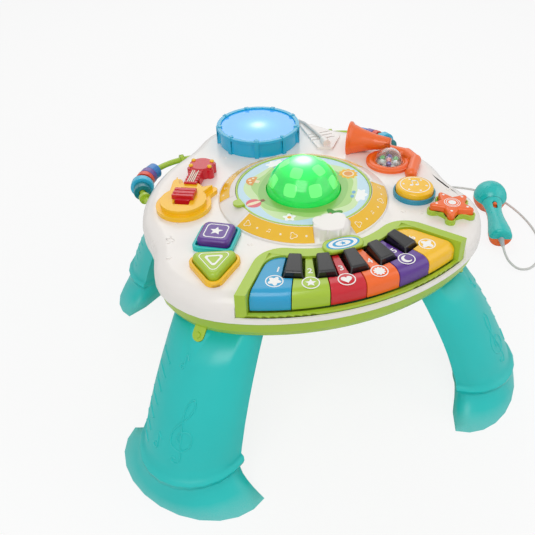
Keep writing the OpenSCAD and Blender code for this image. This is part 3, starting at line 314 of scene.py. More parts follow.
def result_of(holder):
    """What an object's curve or modifiers come to, as an editable mesh; the object goes."""
    bpy.context.view_layer.update()
    mesh = bpy.data.meshes.new_from_object(holder.evaluated_get(bpy.context.evaluated_depsgraph_get()))
    bm = bmesh.new()
    bm.from_mesh(mesh)
    bpy.data.meshes.remove(mesh)
    bpy.data.objects.remove(holder)
    return bm


def combined(bm, tool, operation):
    """A mesh with a solid added to it or taken from it."""
    holders = []
    for part in (bm, tool):
        mesh = bpy.data.meshes.new("part")
        part.to_mesh(mesh)
        part.free()
        holders.append(shown(mesh))
    step = holders[0].modifiers.new("combine", "BOOLEAN")
    step.object, step.operation, step.solver = holders[1], operation, "EXACT"
    result = result_of(holders[0])
    bpy.data.objects.remove(holders[1])
    return result


def merge_near(bm, reach=0.001):
    """Points closer than reach mm become one."""
    bmesh.ops.remove_doubles(bm, verts=bm.verts, dist=reach * MM)


def face_out(bm):
    bmesh.ops.recalc_face_normals(bm, faces=bm.faces)


def sharp_edges(bm):
    return [e for e in bm.edges if e.is_manifold and e.calc_face_angle(0) > radians(SHARP)]


def round_edges(bm, edges, radius, segments):
    bmesh.ops.bevel(
        bm, geom=edges, offset=radius * MM, offset_type="OFFSET", segments=segments, profile=0.5,
        affect="EDGES", clamp_overlap=False, material=-1,
    )


def moulded(node, materials, edge=0.0, angle=32.0, order=None, shape=None, crown=(), flats=True):
    """A node's copy with its triangles merged, its flats made whole and its sharp edges rounded by edge mm.

    order sorts the node's separate shells, which then take the materials in turn. shape changes the mesh
    before its edges are rounded. crown has heights, from and to, whose outer edges get a radius of their own.
    Without flats, the triangles stay."""
    source = frame["nodes"][node]
    bm = bmesh.new()
    bm.from_mesh(source.data)
    merge_near(bm, MERGE)
    bmesh.ops.dissolve_degenerate(bm, edges=bm.edges, dist=MERGE * MM)
    if flats:
        bmesh.ops.dissolve_limit(bm, angle_limit=radians(FLAT), verts=bm.verts, edges=bm.edges)
    if shape:
        bm = shape(bm)
        bmesh.ops.dissolve_limit(bm, angle_limit=radians(FLAT), verts=bm.verts, edges=bm.edges)
    for low, high, radius in crown:
        band = [
            e for e in sharp_edges(bm)
            if e.is_convex and all(low * MM < v.co.z < high * MM for v in e.verts)
        ]
        round_edges(bm, band, radius, 4)
    if edge:
        round_edges(bm, sharp_edges(bm), edge, 2)
    if order:
        groups = sorted(island_groups(bm), key=lambda group: order(middle_of(group)))
        for index, group in enumerate(groups):
            for face in group:
                face.material_index = index % len(materials)
    return deliver(
        bm, node + "_moulding", materials, source["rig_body"], angle, stands_for=(node,)
    )


def coat(node, material):
    """A CAD node whose shape is right takes its finish."""
    mesh = frame["nodes"][node].data
    mesh.materials.clear()
    mesh.materials.append(material)


def doubled(bm, faces):
    """A copy of some faces, walled to them and still in their place; gives its points and its faces."""
    copy = bmesh.ops.extrude_face_region(bm, geom=faces, use_keep_orig=True)["geom"]
    kinds = bmesh.types.BMVert, bmesh.types.BMFace
    return [[part for part in copy if isinstance(part, kind)] for kind in kinds]


def walls(bm, outline, low, high, matrix):
    """A flat closed outline raised from one height to another; gives the top face."""
    base = bm.faces.new([bm.verts.new(matrix @ Vector((x, y, low))) for x, y in outline])
    points, faces = doubled(bm, [base])
    bmesh.ops.translate(bm, vec=matrix.to_3x3() @ Vector((0, 0, high - low)), verts=points)
    return faces[0]


def prism(bm, outline, low, high, matrix):
    """A solid on a flat closed outline, between two heights."""
    walls(bm, outline, low, high, matrix)
    face_out(bm)


def cushion(bm, outline, low, high, shoulder, matrix, steps=6):
    """A cap on an outline: straight walls, then a round shoulder up to a flat crown."""
    top = walls(bm, outline, low, high - shoulder, matrix)
    turns = [pi / 2 * k / steps for k in range(steps + 1)]
    for a, b in zip(turns, turns[1:]):
        inwards, upwards = shoulder * (cos(a) - cos(b)) * MM, shoulder * (sin(b) - sin(a)) * MM
        bmesh.ops.inset_region(
            bm, faces=[top], thickness=inwards, depth=upwards, use_even_offset=True, use_boundary=True
        )
    face_out(bm)


def rounded(corners, radius, arc=8):
    """An outline with round corners about the given points, anticlockwise."""
    points = []
    for i, corner in enumerate(corners):
        last = Vector(corner) - Vector(corners[i - 1])
        ahead = Vector(corners[(i + 1) % len(corners)]) - Vector(corner)
        start = atan2(-last.x, last.y)
        turn = (atan2(-ahead.x, ahead.y) - start) % (2 * pi)
        turns = [start + turn * k / arc for k in range(arc + 1)]
        points += scaled([(cos(a), sin(a)) for a in turns], radius, 0, corner)
    return points


def starfish(reach, inner, tip, half=67.0, arc=8):
    """A five-pointed star: round tips that turn half degrees to each side, and a point between each two."""
    points = []
    for k in range(5):
        fan = [polar(tip, 72 * k - half + 2 * half * j / arc) for j in range(arc + 1)]
        points += scaled(fan, 1.0, 0, polar(reach, 72 * k)) + [polar(inner, 72 * k + 36)]
    return points


def outer_ray(side):
    """The keyboard's left (-1) or right (1) edge from the axis, and the direction out from it."""
    ray = Vector(polar(1, -90 + side * KEY_HALF))
    return ray, Vector((-ray.y, ray.x)) * side


def corner_arc(side, offset, back, radius, steps=14):
    """A round back corner of the keyboard, from the side to the back, offset mm beside the outer ray."""
    ray, out = outer_ray(side)
    apart = offset - radius
    middle = ray * sqrt((back + radius) ** 2 - apart**2) + out * apart
    start, end = atan2(out.y, out.x), atan2(-middle.y, -middle.x)
    sweep = (end - start + pi) % (2 * pi) - pi
    turns = [start + sweep * k / steps for k in range(steps + 1)]
    return [middle + Vector((cos(a), sin(a))) * radius for a in turns]


def keyboard_corner(side, offset, back, radius, beyond):
    """What lies outside a round back corner of the keyboard, anticlockwise."""
    ray, out = outer_ray(side)
    points = corner_arc(side, offset, back, radius)
    corner = ray * sqrt(back**2 - offset**2) + out * offset
    inward = -points[-1].normalized()
    points += [points[-1] + inward * beyond, corner + (out - ray) * beyond, points[0] + out * beyond]
    return points if side > 0 else points[::-1]


def table_prism(outline, low, high):
    """A solid on a plan outline of the table, between two heights."""
    bm = bmesh.new()
    prism(bm, outline, low, high, seat(0, 0, unit=MM))
    return bm


def lobed(lobes, depth, points=48):
    """A round outline with soft lobes, one millimetre in radius."""
    return [
        ((1 + depth * cos(lobes * 2 * pi * k / points)) * cos(2 * pi * k / points),
         (1 + depth * cos(lobes * 2 * pi * k / points)) * sin(2 * pi * k / points))
        for k in range(points)
    ]


def starred(tips, inner):
    return [
        ((inner if k % 2 else 1) * sin(pi * k / tips), (inner if k % 2 else 1) * cos(pi * k / tips))
        for k in range(2 * tips)
    ]


HEART = [
    (sin(a) ** 3, (13 * cos(a) - 5 * cos(2 * a) - 2 * cos(3 * a) - cos(4 * a)) / 16)
    for a in [2 * pi * k / 40 for k in range(40)]
]
CLOUD = [(x * 1.35, max(y, -0.45) * 0.9) for x, y in lobed(7, 0.16, 56)]
MOON = [(cos(a), sin(a)) for a in [pi * (0.32 + 1.36 * k / 24) for k in range(25)]] + [
    (0.35 + 0.72 * cos(a), 0.72 * sin(a)) for a in [pi * (1.55 - 1.1 * k / 20) for k in range(21)]
]
CIRCLE = lobed(1, 0, 40)
FLOWER = lobed(5, 0.22)
CLOVER = lobed(4, 0.3)
SUN = lobed(10, 0.12, 80)
STARLET = starred(5, 0.46)
NOTE_HEAD = [(0.62 * x - 0.1 * y, 0.46 * y + 0.16 * x) for x, y in CIRCLE]


def scaled(outline, size, turn=0.0, shift=(0.0, 0.0)):
    c, s = cos(radians(turn)), sin(radians(turn))
    return [(size * (c * x - s * y) + shift[0], size * (s * x + c * y) + shift[1]) for x, y in outline]


def note_outlines(size, pair=True):
    """A quaver, or a beamed pair: heads, stems and beam."""
    head = scaled(NOTE_HEAD, size * 0.55)
    stem = scaled([(0.24, 0), (0.36, 0), (0.36, 1.5), (0.24, 1.5)], size)
    parts = [head, stem]
    if pair:
        parts = [[(x + shift * size, y) for x, y in part] for shift in (-0.6, 0.4) for part in parts]
        parts.append(scaled([(-0.36, 1.2), (0.76, 1.2), (0.76, 1.5), (-0.36, 1.5)], size))
    else:
        parts.append(scaled([(0.3, 1.5), (0.3, 1.15), (0.85, 0.75), (0.75, 1.1)], size))
    return parts


def ring_outlines(outline, size, width, turn=0.0):
    """A closed line of some width round an outline, as short blocks end to end."""
    outer, inner = scaled(outline, size, turn), scaled(outline, size - width, turn)
    count = len(outer)
    return [[outer[i - 1], outer[i], inner[i], inner[i - 1]] for i in range(count)]


def printed(name, groups, body, ink, high=0.12):
    """Prints that stand a hair above a face. Each group has its outlines, a point, its turn and its tilt."""
    bm = bmesh.new()
    for outlines, point, turn, tilt in groups:
        for outline in outlines:
            prism(bm, outline, -0.05, high, seat(*point, turn, tilt, unit=MM))
    return deliver(bm, name, ink, body, angle=20)


def numeral(name, text, size, point, turn, body, slot, ink):
    """A plain number as thin ink on a face."""
    curve = bpy.data.curves.new(name, "FONT")
    curve.body = text
    curve.size = size
    curve.extrude = 0.09 * MM
    curve.offset = 0.02 * size
    curve.align_x = curve.align_y = "CENTER"
    bm = result_of(shown(curve))
    bmesh.ops.transform(bm, matrix=seat(*point, turn), verts=bm.verts)
    merge_near(bm)
    return deliver(bm, name, ink, body, angle=20)


def hit(node, start, direction):
    """Where a ray meets a CAD node, and the face's normal there."""
    if node not in hit.trees:
        bm = bmesh.new()
        bm.from_mesh(frame["nodes"][node].data)
        hit.trees[node] = BVHTree.FromBMesh(bm)
        bm.free()
    place, normal, _, _ = hit.trees[node].ray_cast(start, direction)
    return place, normal


hit.trees = {}


def top_of(node, x, y):
    """Height in millimetres of a node's upper face at a point of the deck."""
    place, _ = hit(node, at(x, y, 320), Vector((0, 0, -1)))
    if place is None:
        raise ValueError(f"{node} has no face under {x:.1f}, {y:.1f}")
    return place.z / MM


def round_line(name, lines, radius, smoothness):
    """Round lines through points of the frame, as one curve."""
    curve = bpy.data.curves.new(name, "CURVE")
    curve.dimensions = "3D"
    curve.bevel_depth = radius
    curve.bevel_resolution = smoothness
    curve.use_fill_caps = True
    for line in lines:
        spline = curve.splines.new("POLY")
        spline.points.add(len(line) - 1)
        for point, place in zip(spline.points, line):
            point.co = (*place, 1.0)
        spline.use_smooth = True
    return curve


def wire(name, lines, radius, body, material):
    """Raised lines, as one mesh."""
    bm = result_of(shown(round_line(name, lines, radius, 3)))
    merge_near(bm)
    face_out(bm)
    return deliver(bm, name, material, body, angle=60)


def turned(bm, profile, matrix, steps=48):
    """A lathe shape: a profile of radius and height that ends on its axis, spun all the way round."""
    points = [bm.verts.new(matrix @ Vector((r * MM, 0, z * MM))) for r, z in profile]
    edges = [bm.edges.new(pair) for pair in zip(points, points[1:])]
    bmesh.ops.spin(
        bm, geom=points + edges, cent=matrix.translation, axis=matrix.to_3x3() @ Vector((0, 0, 1)),
        angle=2 * pi, steps=steps, use_merge=True,
    )
    merge_near(bm, MERGE)
    face_out(bm)


# What a user would change


def colour(label, value, words):
    return bpy.props.FloatVectorProperty(
        name=label, description=words, subtype="COLOR", size=4, min=0.0, max=1.0, default=linear(value)
    )


def length(label, value, words):
    return bpy.props.FloatProperty(
        name=label, description=words, default=value * MM, unit="LENGTH", precision=5
    )


class TableColours(bpy.types.PropertyGroup):
    """Colours of the mouldings, lenses and inks."""

    deck: colour("Deck", "#F4EFEA", "Warm white of the deck")
    lime: colour("Lime", "#A9C832", "Lower case, keyboard frame, disc rim and bars")
    teal: colour("Teal", "#12C4C0", "Legs, square base and microphone")
    blue: colour("Blue", "#1AA0D0", "First key")
    red: colour("Red", "#CF1126", "Third key, guitar neck and slider")
    orange: colour("Orange", "#F96B1E", "Fourth key, horn, star and microphone")
    purple: colour("Purple", "#5A2D91", "Fifth key and square button")
    yellow: colour("Yellow", "#FBC312", "Sixth key, guitar and round button")
    black: colour("Black", "#161618", "Short keys")
    petrol: colour("Petrol blue", "#1C8FB0", "Base of the round button")
    amber: colour("Amber", "#F2C31E", "Light ring")
    green: colour("Green", "#2FE36A", "Light dome")
    aqua: colour("Aqua", "#14B6DC", "Drum shell")
    skin: colour("Drum skin", "#58B0F2", "Lit drum skin")
    cord: colour("Cord", "#D2D2CF", "Microphone cord")
    ink: colour("Ink", "#FBFAF7", "White prints")


class TableSizes(bpy.types.PropertyGroup):
    """Sizes that only the finish has."""

    cap_edge: length("Button shoulder", 4.0, "Rounding of the button caps")
    relief: length("Leg relief", 1.1, "Radius of the raised lines on the legs")
    string: length("String", 0.7, "Radius of the guitar's strings")
    cord: length("Cord", 4.0, "Diameter of the microphone's cord")
    numeral: length("Numerals", 11.0, "Height of the keys' numbers")


# Pieces


class Pieces:
    """What the operators share: each builds its pieces in the colours and sizes that are set."""

    def execute(self, context):
        self.build(context.scene.table_colours, context.scene.table_sizes)
        return {"FINISHED"}


class TABLE_OT_stage(Pieces, bpy.types.Operator):
    """Camera, floor, soft lamps and surroundings"""

    bl_idname = "table.stage"
    bl_label = "Stage"

    # Share of white light in the floor as the camera sees it, and the room's light on the table
    FLOOR_WHITE = 0.84
    ROOM_LIGHT = 0.46

    def build(self, hues, sizes):
        scene = bpy.context.scene
        scene.view_settings.view_transform = "Standard"
        camera_data = bpy.data.cameras.new("Camera")
        camera_data.lens = 41.66
        camera_data.sensor_width = 36.0
        camera_data.shift_x = -0.0674
        camera_data.shift_y = -0.089
        camera_data.clip_end = 50.0
        camera = shown(camera_data)
        camera.location = at(-233.0, -608.0, 646.0)
        camera.rotation_euler = (at(0, 0, 200) - camera.location).to_track_quat("-Z", "Y").to_euler()
        scene.camera = camera

        # Painted studio floor: white to the camera, with the shadow kept
        bm = bmesh.new()
        bmesh.ops.create_grid(bm, x_segments=1, y_segments=1, size=6.0)
        mesh = bpy.data.meshes.new("floor")
        bm.to_mesh(mesh)
        bm.free()
        paint = bpy.data.materials.new("studio_floor_paint")
        add = partial(add_node, emptied(paint))
        seen = add("LightPath")
        matt = add("BsdfDiffuse", {"Color": linear("#F4F4F4")})
        white = add("Emission", {"Color": linear("#FFFFFF"), "Strength": 1.0})
        share = add("Math", {0: seen.outputs["Is Camera Ray"], 1: self.FLOOR_WHITE}, operation="MULTIPLY")
        both = add("MixShader", {0: share, 1: matt, 2: white})
        add("OutputMaterial", {"Surface": both})
        mesh.materials.append(paint)
        shown(mesh)

        lamps = (
            ("key", (-0.9, -1.3, 1.9), 1.4, 19.0),
            ("fill", (1.6, -0.9, 1.3), 1.6, 7.5),
            ("back", (0.3, 1.6, 1.7), 1.6, 9.0),
        )
        for name, place, size, power in lamps:
            light = bpy.data.lights.new(name, "AREA")
            light.size = size
            light.energy = power
            lamp = shown(light)
            lamp.location = place
            lamp.rotation_euler = (Vector((0, 0, 0.15)) - lamp.location).to_track_quat("-Z", "Y").to_euler()

        world = bpy.data.worlds.new("soft_room")
        scene.world = world
        add = partial(add_node, emptied(world))
        seen = add("LightPath")
        camera_ray, glossy_ray, clear_ray = (
            seen.outputs[f"Is {kind} Ray"] for kind in ("Camera", "Glossy", "Transmission")
        )
        mirrored = add("Math", {0: glossy_ray, 1: clear_ray}, operation="MAXIMUM")
        direct = add("Math", {0: camera_ray, 1: mirrored}, operation="MAXIMUM")
        level = add("MapRange", {"Value": direct, "To Min": self.ROOM_LIGHT, "To Max": 1.0})
        sky = add("Background", {"Color": linear("#FFFFFF"), "Strength": level})
        add("OutputWorld", {"Surface": sky})


class TABLE_OT_cord(Pieces, bpy.types.Operator):
    """Round cord from the speaker panel, over the deck's back edge and round to the microphone"""

    bl_idname = "table.cord"
    bl_label = "Microphone cord"

    def build(self, hues, sizes):
        path = smooth_path([at(*p) for p in CORD_ROUTE], 6)
        cord = shown(round_line("microphone_cord", [path], sizes.cord / 2, 5))
        # Soft PVC jacket: satin, slightly uneven
        jacket = finish("pvc_cord_jacket", hues.cord, 0.42, 2.5, 0.05, mottle=0.03, IOR=1.53)
        cord.data.materials.append(jacket)
        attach(cord, "table")
        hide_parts("mic_cord")


class TABLE_OT_deck(Pieces, bpy.types.Operator):
    """White deck, lime lower case, keyboard frame, speaker panel and the deck's raised marks"""

    bl_idname = "table.deck"
    bl_label = "Deck and case"

    # Keyboard frame's back corners: radii outside and inside, and the heights of the inside's fill
    CORNER_OUT, CORNER_IN = 34.0, 22.0
    FILL = (234.0, BORDER_TOP - 0.4)

    # Deck beside those corners: heights of a patch through its skin, a hair above its face
    PATCH = (DECK_TOP - 7, DECK_TOP + 0.02)

    def round_corners(self, bm):
        """The keyboard frame with its two back corners rounded, outside and inside."""
        for side in (-1, 1):
            inside = keyboard_corner(side, BORDER_IN, KEY_BACK_R, self.CORNER_IN, 1)
            bm = combined(bm, table_prism(inside, *self.FILL), "UNION")
            outside = keyboard_corner(side, BORDER_OUT, FRAME_BACK_R, self.CORNER_OUT, 20)
            bm = combined(bm, table_prism(outside, DECK_TOP - 0.1, ABOVE_KEYS), "DIFFERENCE")
        return bm

    def build(self, hues, sizes):
        white = gloss_abs("deck_white", hues.deck)
        lime = gloss_abs("lime", hues.lime)
        moulded("top_shell", white, angle=26, flats=False)
        moulded("bottom_case", lime, angle=30)
        moulded("keyboard_frame", lime, angle=36, shape=self.round_corners, crown=((245.9, 246.1, 1.6),))
        for name, side in (("left", -1), ("right", 1)):
            outline = keyboard_corner(side, BORDER_OUT, FRAME_BACK_R, self.CORNER_OUT, 0.6)
            patch = table_prism(outline, *self.PATCH)
            deliver(patch, "deck_corner_" + name, white, "table")
        moulded("speaker_panel", white, edge=0.3, angle=30)

        marks = []
        for x, y, size, turn, kind in (
            (-172, -38, 5.5, 20, "pair"), (-160, -6, 4.0, -15, "note"), (-100, 118, 5.0, 30, "pair"),
            (-66, 130, 3.6, 0, "star"), (-92, -74, 3.4, 12, "star"), (-180, -66, 3.2, 30, "star"),
            (98, -76, 3.4, 10, "star"), (116, -88, 3.6, -20, "note"), (176, -52, 3.6, 20, "star"),
            (120, 118, 3.4, 0, "star"), (50, 168, 4.2, -25, "note"),
            (-104, 92, 3.0, 40, "star"), (176, -78, 3.0, 0, "star"),
        ):
            outlines = [scaled(STARLET, size)] if kind == "star" else note_outlines(size, kind == "pair")
            marks.append((outlines, (x, y, top_of("top_shell", x, y)), turn, 0))
        printed("deck_marks", marks, "table", white, high=0.7)

        # Badge in front of the disc: blue and white ovals round a small star
        top = top_of("keyboard_frame", 0, LABEL_Y)
        oval = [(1.62 * x, 0.8 * y) for x, y in CIRCLE]
        white_ink, blue_ink = print_ink("white", hues.ink), print_ink("sky_blue", linear("#43A9DC"))
        for step, size in enumerate((12.0, 10.4, 7.6, 5.4)):
            group = ([scaled(oval, size)], (0, LABEL_Y, top), 0, 0)
            ink = white_ink if step % 2 else blue_ink
            printed(f"badge_oval_{step + 1}", [group], "table", ink, high=0.1 + 0.06 * step)
        group = ([scaled(STARLET, 3.6)], (0, LABEL_Y - 0.2, top), 0, 0)
        printed("badge_star", [group], "table", blue_ink, high=0.34)


class TABLE_OT_legs(Pieces, bpy.types.Operator):
    """Teal legs with a raised treble clef, notes and ribs, and their lime lock buttons"""

    bl_idname = "table.legs"
    bl_label = "Legs"

    CLEF = (
        (-0.10, -0.84), (-0.21, -0.82), (-0.25, -0.92), (-0.14, -1.0), (0.0, -0.97), (0.07, -0.84),
        (0.03, -0.55), (-0.05, -0.1), (-0.12, 0.3), (-0.12, 0.62), (-0.02, 0.88), (0.10, 0.97), (0.19, 0.82),
        (0.13, 0.58), (-0.05, 0.34), (-0.28, 0.12), (-0.42, -0.12), (-0.40, -0.40), (-0.20, -0.56),
        (0.06, -0.58), (0.30, -0.44), (0.36, -0.22), (0.24, -0.02), (0.04, 0.02), (-0.14, -0.08),
        (-0.18, -0.24), (-0.10, -0.34),
    )

    # The clef's middle on the leg and its half width and height in mm, and the heights of the ripples
    CLEF_MIDDLE, CLEF_SIZE = (14, 92), (30, 33)
    RIPPLES = range(58, 143, 14)

    def line_on_leg(self, leg, points):
        """Points of width and height in millimetres, laid on a leg's outer face."""
        out = Vector((*polar(1, LEG_ANGLES[leg]), 0))
        side = Vector((-out.y, out.x, 0))
        line = []
        for u, z in points:
            start = at(LEGS_MID_X, 0, z) + out * 0.5 + side * (u * MM)
            place, normal = hit(LEGS[leg], start, -out)
            if place is not None:
                line.append(place - normal * 0.2 * MM)
        return line

    def build(self, hues, sizes):
        teal = satin_abs("teal", hues.teal, scuff=14.0)
        clef = [(p.x, p.y) for p in smooth_path([(x, y, 0) for x, y in self.CLEF], 4)]
        for leg, name in enumerate(LEGS):
            moulded(name, teal, angle=34)
            hand = (1, -1, -1, 1)[leg]
            (mid, up), (wide, tall) = self.CLEF_MIDDLE, self.CLEF_SIZE
            lines = [[(hand * mid + wide * x, up + tall * y) for x, y in clef]]
            # Ripples down the far edge, then two quavers: head, stem and flag
            for z in self.RIPPLES:
                reach = 26 + (self.RIPPLES[-1] - z) * 0.07
                lines.append([(-hand * (reach + k * 2.4), z + 3 * sin(k / 5)) for k in range(9)])
            for x, z, size in ((-18, 66, 5.0), (-8, 148, 4.0)):
                stem = [(0.55, k / 2) for k in range(7)]
                flag = [(0.55 + 0.25 * k, 3.0 - 0.3 * k) for k in range(1, 5)]
                for shape in (NOTE_HEAD + NOTE_HEAD[:1], stem + flag):
                    lines.append([(hand * (x + p * size), z + q * size) for p, q in shape])
            lines = [self.line_on_leg(leg, line) for line in lines]
            lines = [line for line in lines if len(line) > 1]
            wire(name + "_relief", lines, sizes.relief, "table", teal)
        moulded("leg_lock_buttons", gloss_abs("lime", hues.lime), edge=0.6)


class TABLE_OT_keys(Pieces, bpy.types.Operator):
    """Six colour keys with numbers and marks, and five short black keys"""

    bl_idname = "table.keys"
    bl_label = "Keys"

    # Outer keys, in mm: gap, corner and wall, then the wall's foot, the cut's foot and the wall's top
    GAP = 0.3
    CORNER_R = 21.0
    WALL = 2.0
    WALL_LOW, CUT_LOW, WALL_HIGH = 233.0, 233.8, 240.0

    # Distances of the numbers and marks from the axis; radii of a mark and its ring, and the ring's width
    NUMBER_R, MARK_R = 153.5, 172.0
    MARK, RING, RING_WIDTH = 5.9, 9.4, 1.2

    # Short keys: the height the taper starts at and one just under the top, the back edge's distance from
    # the axis, and the shares by which the top is shorter and narrower
    TAPER_FROM, TOP_FROM = 241.2, 244.0
    BACK = 134.0
    SHORTER, NARROWER = 0.08, 0.17

    def round_corner(self, side):
        """Rounds an outer key's back corner to the frame's, and puts a wall under the new edge."""
        def shape(bm):
            back, behind = KEY_BACK_R + self.GAP, KEY_BACK_R + self.GAP + self.WALL
            outside = keyboard_corner(side, -self.GAP, back, self.CORNER_R, 12)
            bm = combined(bm, table_prism(outside, self.CUT_LOW, ABOVE_KEYS), "DIFFERENCE")
            inner = corner_arc(side, -self.GAP - self.WALL, behind, self.CORNER_R - self.WALL)
            wall = corner_arc(side, -self.GAP, back, self.CORNER_R) + inner[::-1]
            return combined(bm, table_prism(wall[::side], self.WALL_LOW, self.WALL_HIGH), "UNION")
        return shape

    def taper(self, j):
        """A short key above the long ones: narrower to its top, and sloped down to the front."""
        def shape(bm):
            angle = radians(-90 + (j - 2) * KEY_PITCH)
            along, across = Vector((cos(angle), sin(angle), 0)), Vector((-sin(angle), cos(angle), 0))
            everything = bm.verts[:] + bm.edges[:] + bm.faces[:]
            foot = (0, 0, self.TAPER_FROM * MM)
            bmesh.ops.bisect_plane(bm, geom=everything, plane_co=foot, plane_no=(0, 0, 1))
            for vert in bm.verts:
                if vert.co.z > self.TOP_FROM * MM:
                    place = vert.co - Vector(at(0, 0))
                    reach, over = place.dot(along) - self.BACK * MM, place.dot(across)
                    vert.co -= along * reach * self.SHORTER + across * over * self.NARROWER
            return bm
        return shape

    def build(self, hues, sizes):
        ink = print_ink("white", hues.ink)
        tints = ("blue", "lime", "red", "orange", "purple", "yellow")
        for i, (hue, mark) in enumerate(zip(tints, (FLOWER, STARLET, HEART, SUN, MOON, CLOVER))):
            node = f"key_{i + 1}"
            corner = {0: self.round_corner(-1), 5: self.round_corner(1)}.get(i)
            moulded(node, gloss_abs("key_" + hue, getattr(hues, hue)), edge=0.6, angle=34, shape=corner)
            angle = -90 + (i - 2.5) * KEY_PITCH
            slot = material_slot(node)
            x, y = polar(self.NUMBER_R, angle)
            point = (x, y, top_of(node, x, y))
            numeral(node + "_number", str(i + 1), sizes.numeral, point, angle + 90, node, slot, ink)
            x, y = polar(self.MARK_R, angle)
            outlines = [scaled(mark, self.MARK)] + ring_outlines(CIRCLE, self.RING, self.RING_WIDTH)
            group = (outlines, (x, y, top_of(node, x, y)), angle + 90, 0)
            printed(node + "_mark", [group], node, ink)
        black = gloss_abs("black", hues.black)
        for j in range(5):
            moulded(f"black_key_{j + 1}", black, angle=34, shape=self.taper(j), crown=((241.0, 251.0, 1.8),))


class TABLE_OT_disc(Pieces, bpy.types.Operator):
    """Light ring, turning picture disc, its rim and the faceted light dome"""

    bl_idname = "table.disc"
    bl_label = "Disc, ring and dome"

    def landscape(self):
        """Printed film: pale sky and three rows of hills round the disc, which turn with it."""
        film = bpy.data.materials.new("printed_film_landscape")
        add = partial(add_node, emptied(film))
        place = add("TexCoord").outputs["Object"]
        middle = add("VectorMath", {0: place, 1: at(0, 0, 0)}, operation="SUBTRACT")
        xyz = add("SeparateXYZ", {"Vector": middle})
        around = add("Math", {0: xyz.outputs["Y"], 1: xyz.outputs["X"]}, operation="ARCTAN2")
        flat = add("CombineXYZ", {"X": xyz.outputs["X"], "Y": xyz.outputs["Y"]})
        out = add("VectorMath", {0: flat}, operation="LENGTH").outputs["Value"]
        grain = add("TexNoise", {"Vector": place, "Scale": 2500.0, "Detail": 2.0})
        colour_now = None
        # Each row: waves round the disc and their shift, middle radius and height in mm, sky and ground
        rows = (
            (5.0, 0.4, 70.0, 4.0, linear("#BFDDEE"), linear("#CBE3A6")),
            (7.0, 1.7, 62.0, 3.0, None, linear("#A5D070")),
            (4.0, 0.9, 56.0, 2.0, None, linear("#86BE55")),
        )
        for waves, shift, radius, height, sky, ground in rows:
            angle = add("Math", {0: around, 1: waves, 2: shift}, operation="MULTIPLY_ADD")
            wave = add("Math", {0: angle}, operation="SINE")
            line = add("Math", {0: wave, 1: height * MM, 2: radius * MM}, operation="MULTIPLY_ADD")
            inside = add("Math", {0: out, 1: line}, operation="LESS_THAN")
            layered = add("Mix", {0: inside, 6: sky or colour_now, 7: ground}, data_type="RGBA")
            colour_now = layered.outputs[2]
        bump = add("Bump", {"Height": grain, "Strength": 0.3, "Distance": 0.01 * MM})
        links = {"Base Color": colour_now, "Normal": bump}
        shader = add("BsdfPrincipled", {**links, "Roughness": 0.34, "Coat Weight": 0.3})
        add("OutputMaterial", {"Surface": shader})
        return film

    def ring_marks(self):
        """Clovers and notes in outline on the light ring, with dots between them."""
        marks = []
        # First and last direction and radius of each row
        for start, end, middle in ((26, 164, 98.5), (207, 251, 95.5), (290, 343, 95.5)):
            count = max(4, round((end - start) / 9))
            for k in range(count + 1):
                angle = start + (end - start) * k / count
                x, y = polar(middle, angle)
                outlines = (
                    ring_outlines(lobed(3, 0.28, 42), 3.9, 0.8, 30 * k), [scaled(CIRCLE, 1.3)],
                    note_outlines(2.4), [scaled(CIRCLE, 1.3)],
                )[k % 4]
                marks.append((outlines, (x, y, top_of("light_ring", x, y)), angle + 90, 25))
        printed("ring_marks", marks, "table", print_ink("pearl", linear("#FDF3D8")), 0.2)

    INKS = {
        "apricot": "#EDA257", "cream": "#FBEBCB", "cloud": "#FFFFFF", "slate": "#56606A", "leaf": "#4C9A3F",
        "bark": "#8A5A34", "amber_sun": "#F8BE32", "pool": "#7FB6DC", "rose": "#E9707A",
    }
    BLOCK = [(-1, -1), (1, -1), (1, 1), (-1, 1)]
    WIDE = [(1.5 * x, y) for x, y in CIRCLE]
    TALL = [(0.3 * x, y) for x, y in CIRCLE]
    ARCH = [(x, max(y, -0.1)) for x, y in CIRCLE]
    # Each picture's layers from below: outline, size, place across and outwards, and ink
    PICTURES = {
        "sun": ((SUN, 9.4, 0, 0, "amber_sun"), (CIRCLE, 6.2, 0, 0, "cream"), (CIRCLE, 4.6, 0, 0, "apricot")),
        "cloud": ((CLOUD, 8.0, 0, 0, "cloud"), (WIDE, 1.9, -4, -6.4, "pool"), (WIDE, 1.9, 4, -6.4, "pool")),
        "toadstool": (
            (BLOCK, 2.6, 0, -5.4, "cream"), (ARCH, 8.6, 0, -2.4, "apricot"), (CIRCLE, 1.5, -4, 0.4, "cream"),
            (CIRCLE, 1.7, 0.4, 2.6, "cream"), (CIRCLE, 1.4, 4.6, 0.2, "cream"),
        ),
        "balloon": (
            (CIRCLE, 7.6, 0, 2.0, "rose"), (TALL, 7.6, 0, 2.0, "cream"), (BLOCK, 1.9, 0, -8.2, "bark"),
            (BLOCK, 0.4, -1.4, -6.0, "slate"), (BLOCK, 0.4, 1.4, -6.0, "slate"),
        ),
        "tree": (
            (BLOCK, 1.5, 0, -7.2, "bark"), (CLOVER, 7.8, 0, 0.8, "leaf"), (CIRCLE, 1.3, -3, 2, "rose"),
            (CIRCLE, 1.3, 2.6, -1, "rose"), (CIRCLE, 1.3, 1.4, 4, "rose"),
        ),
        "blossom": (
            (BLOCK, 0.6, 0, -6, "leaf"), (FLOWER, 5.4, 0, 0.6, "cloud"), (CIRCLE, 2.0, 0, 0.6, "amber_sun"),
        ),
    }
    ORDER = ("sun", "tree", "cloud", "toadstool", "balloon", "blossom", "tree", "cloud")
    GROWN = 1.2

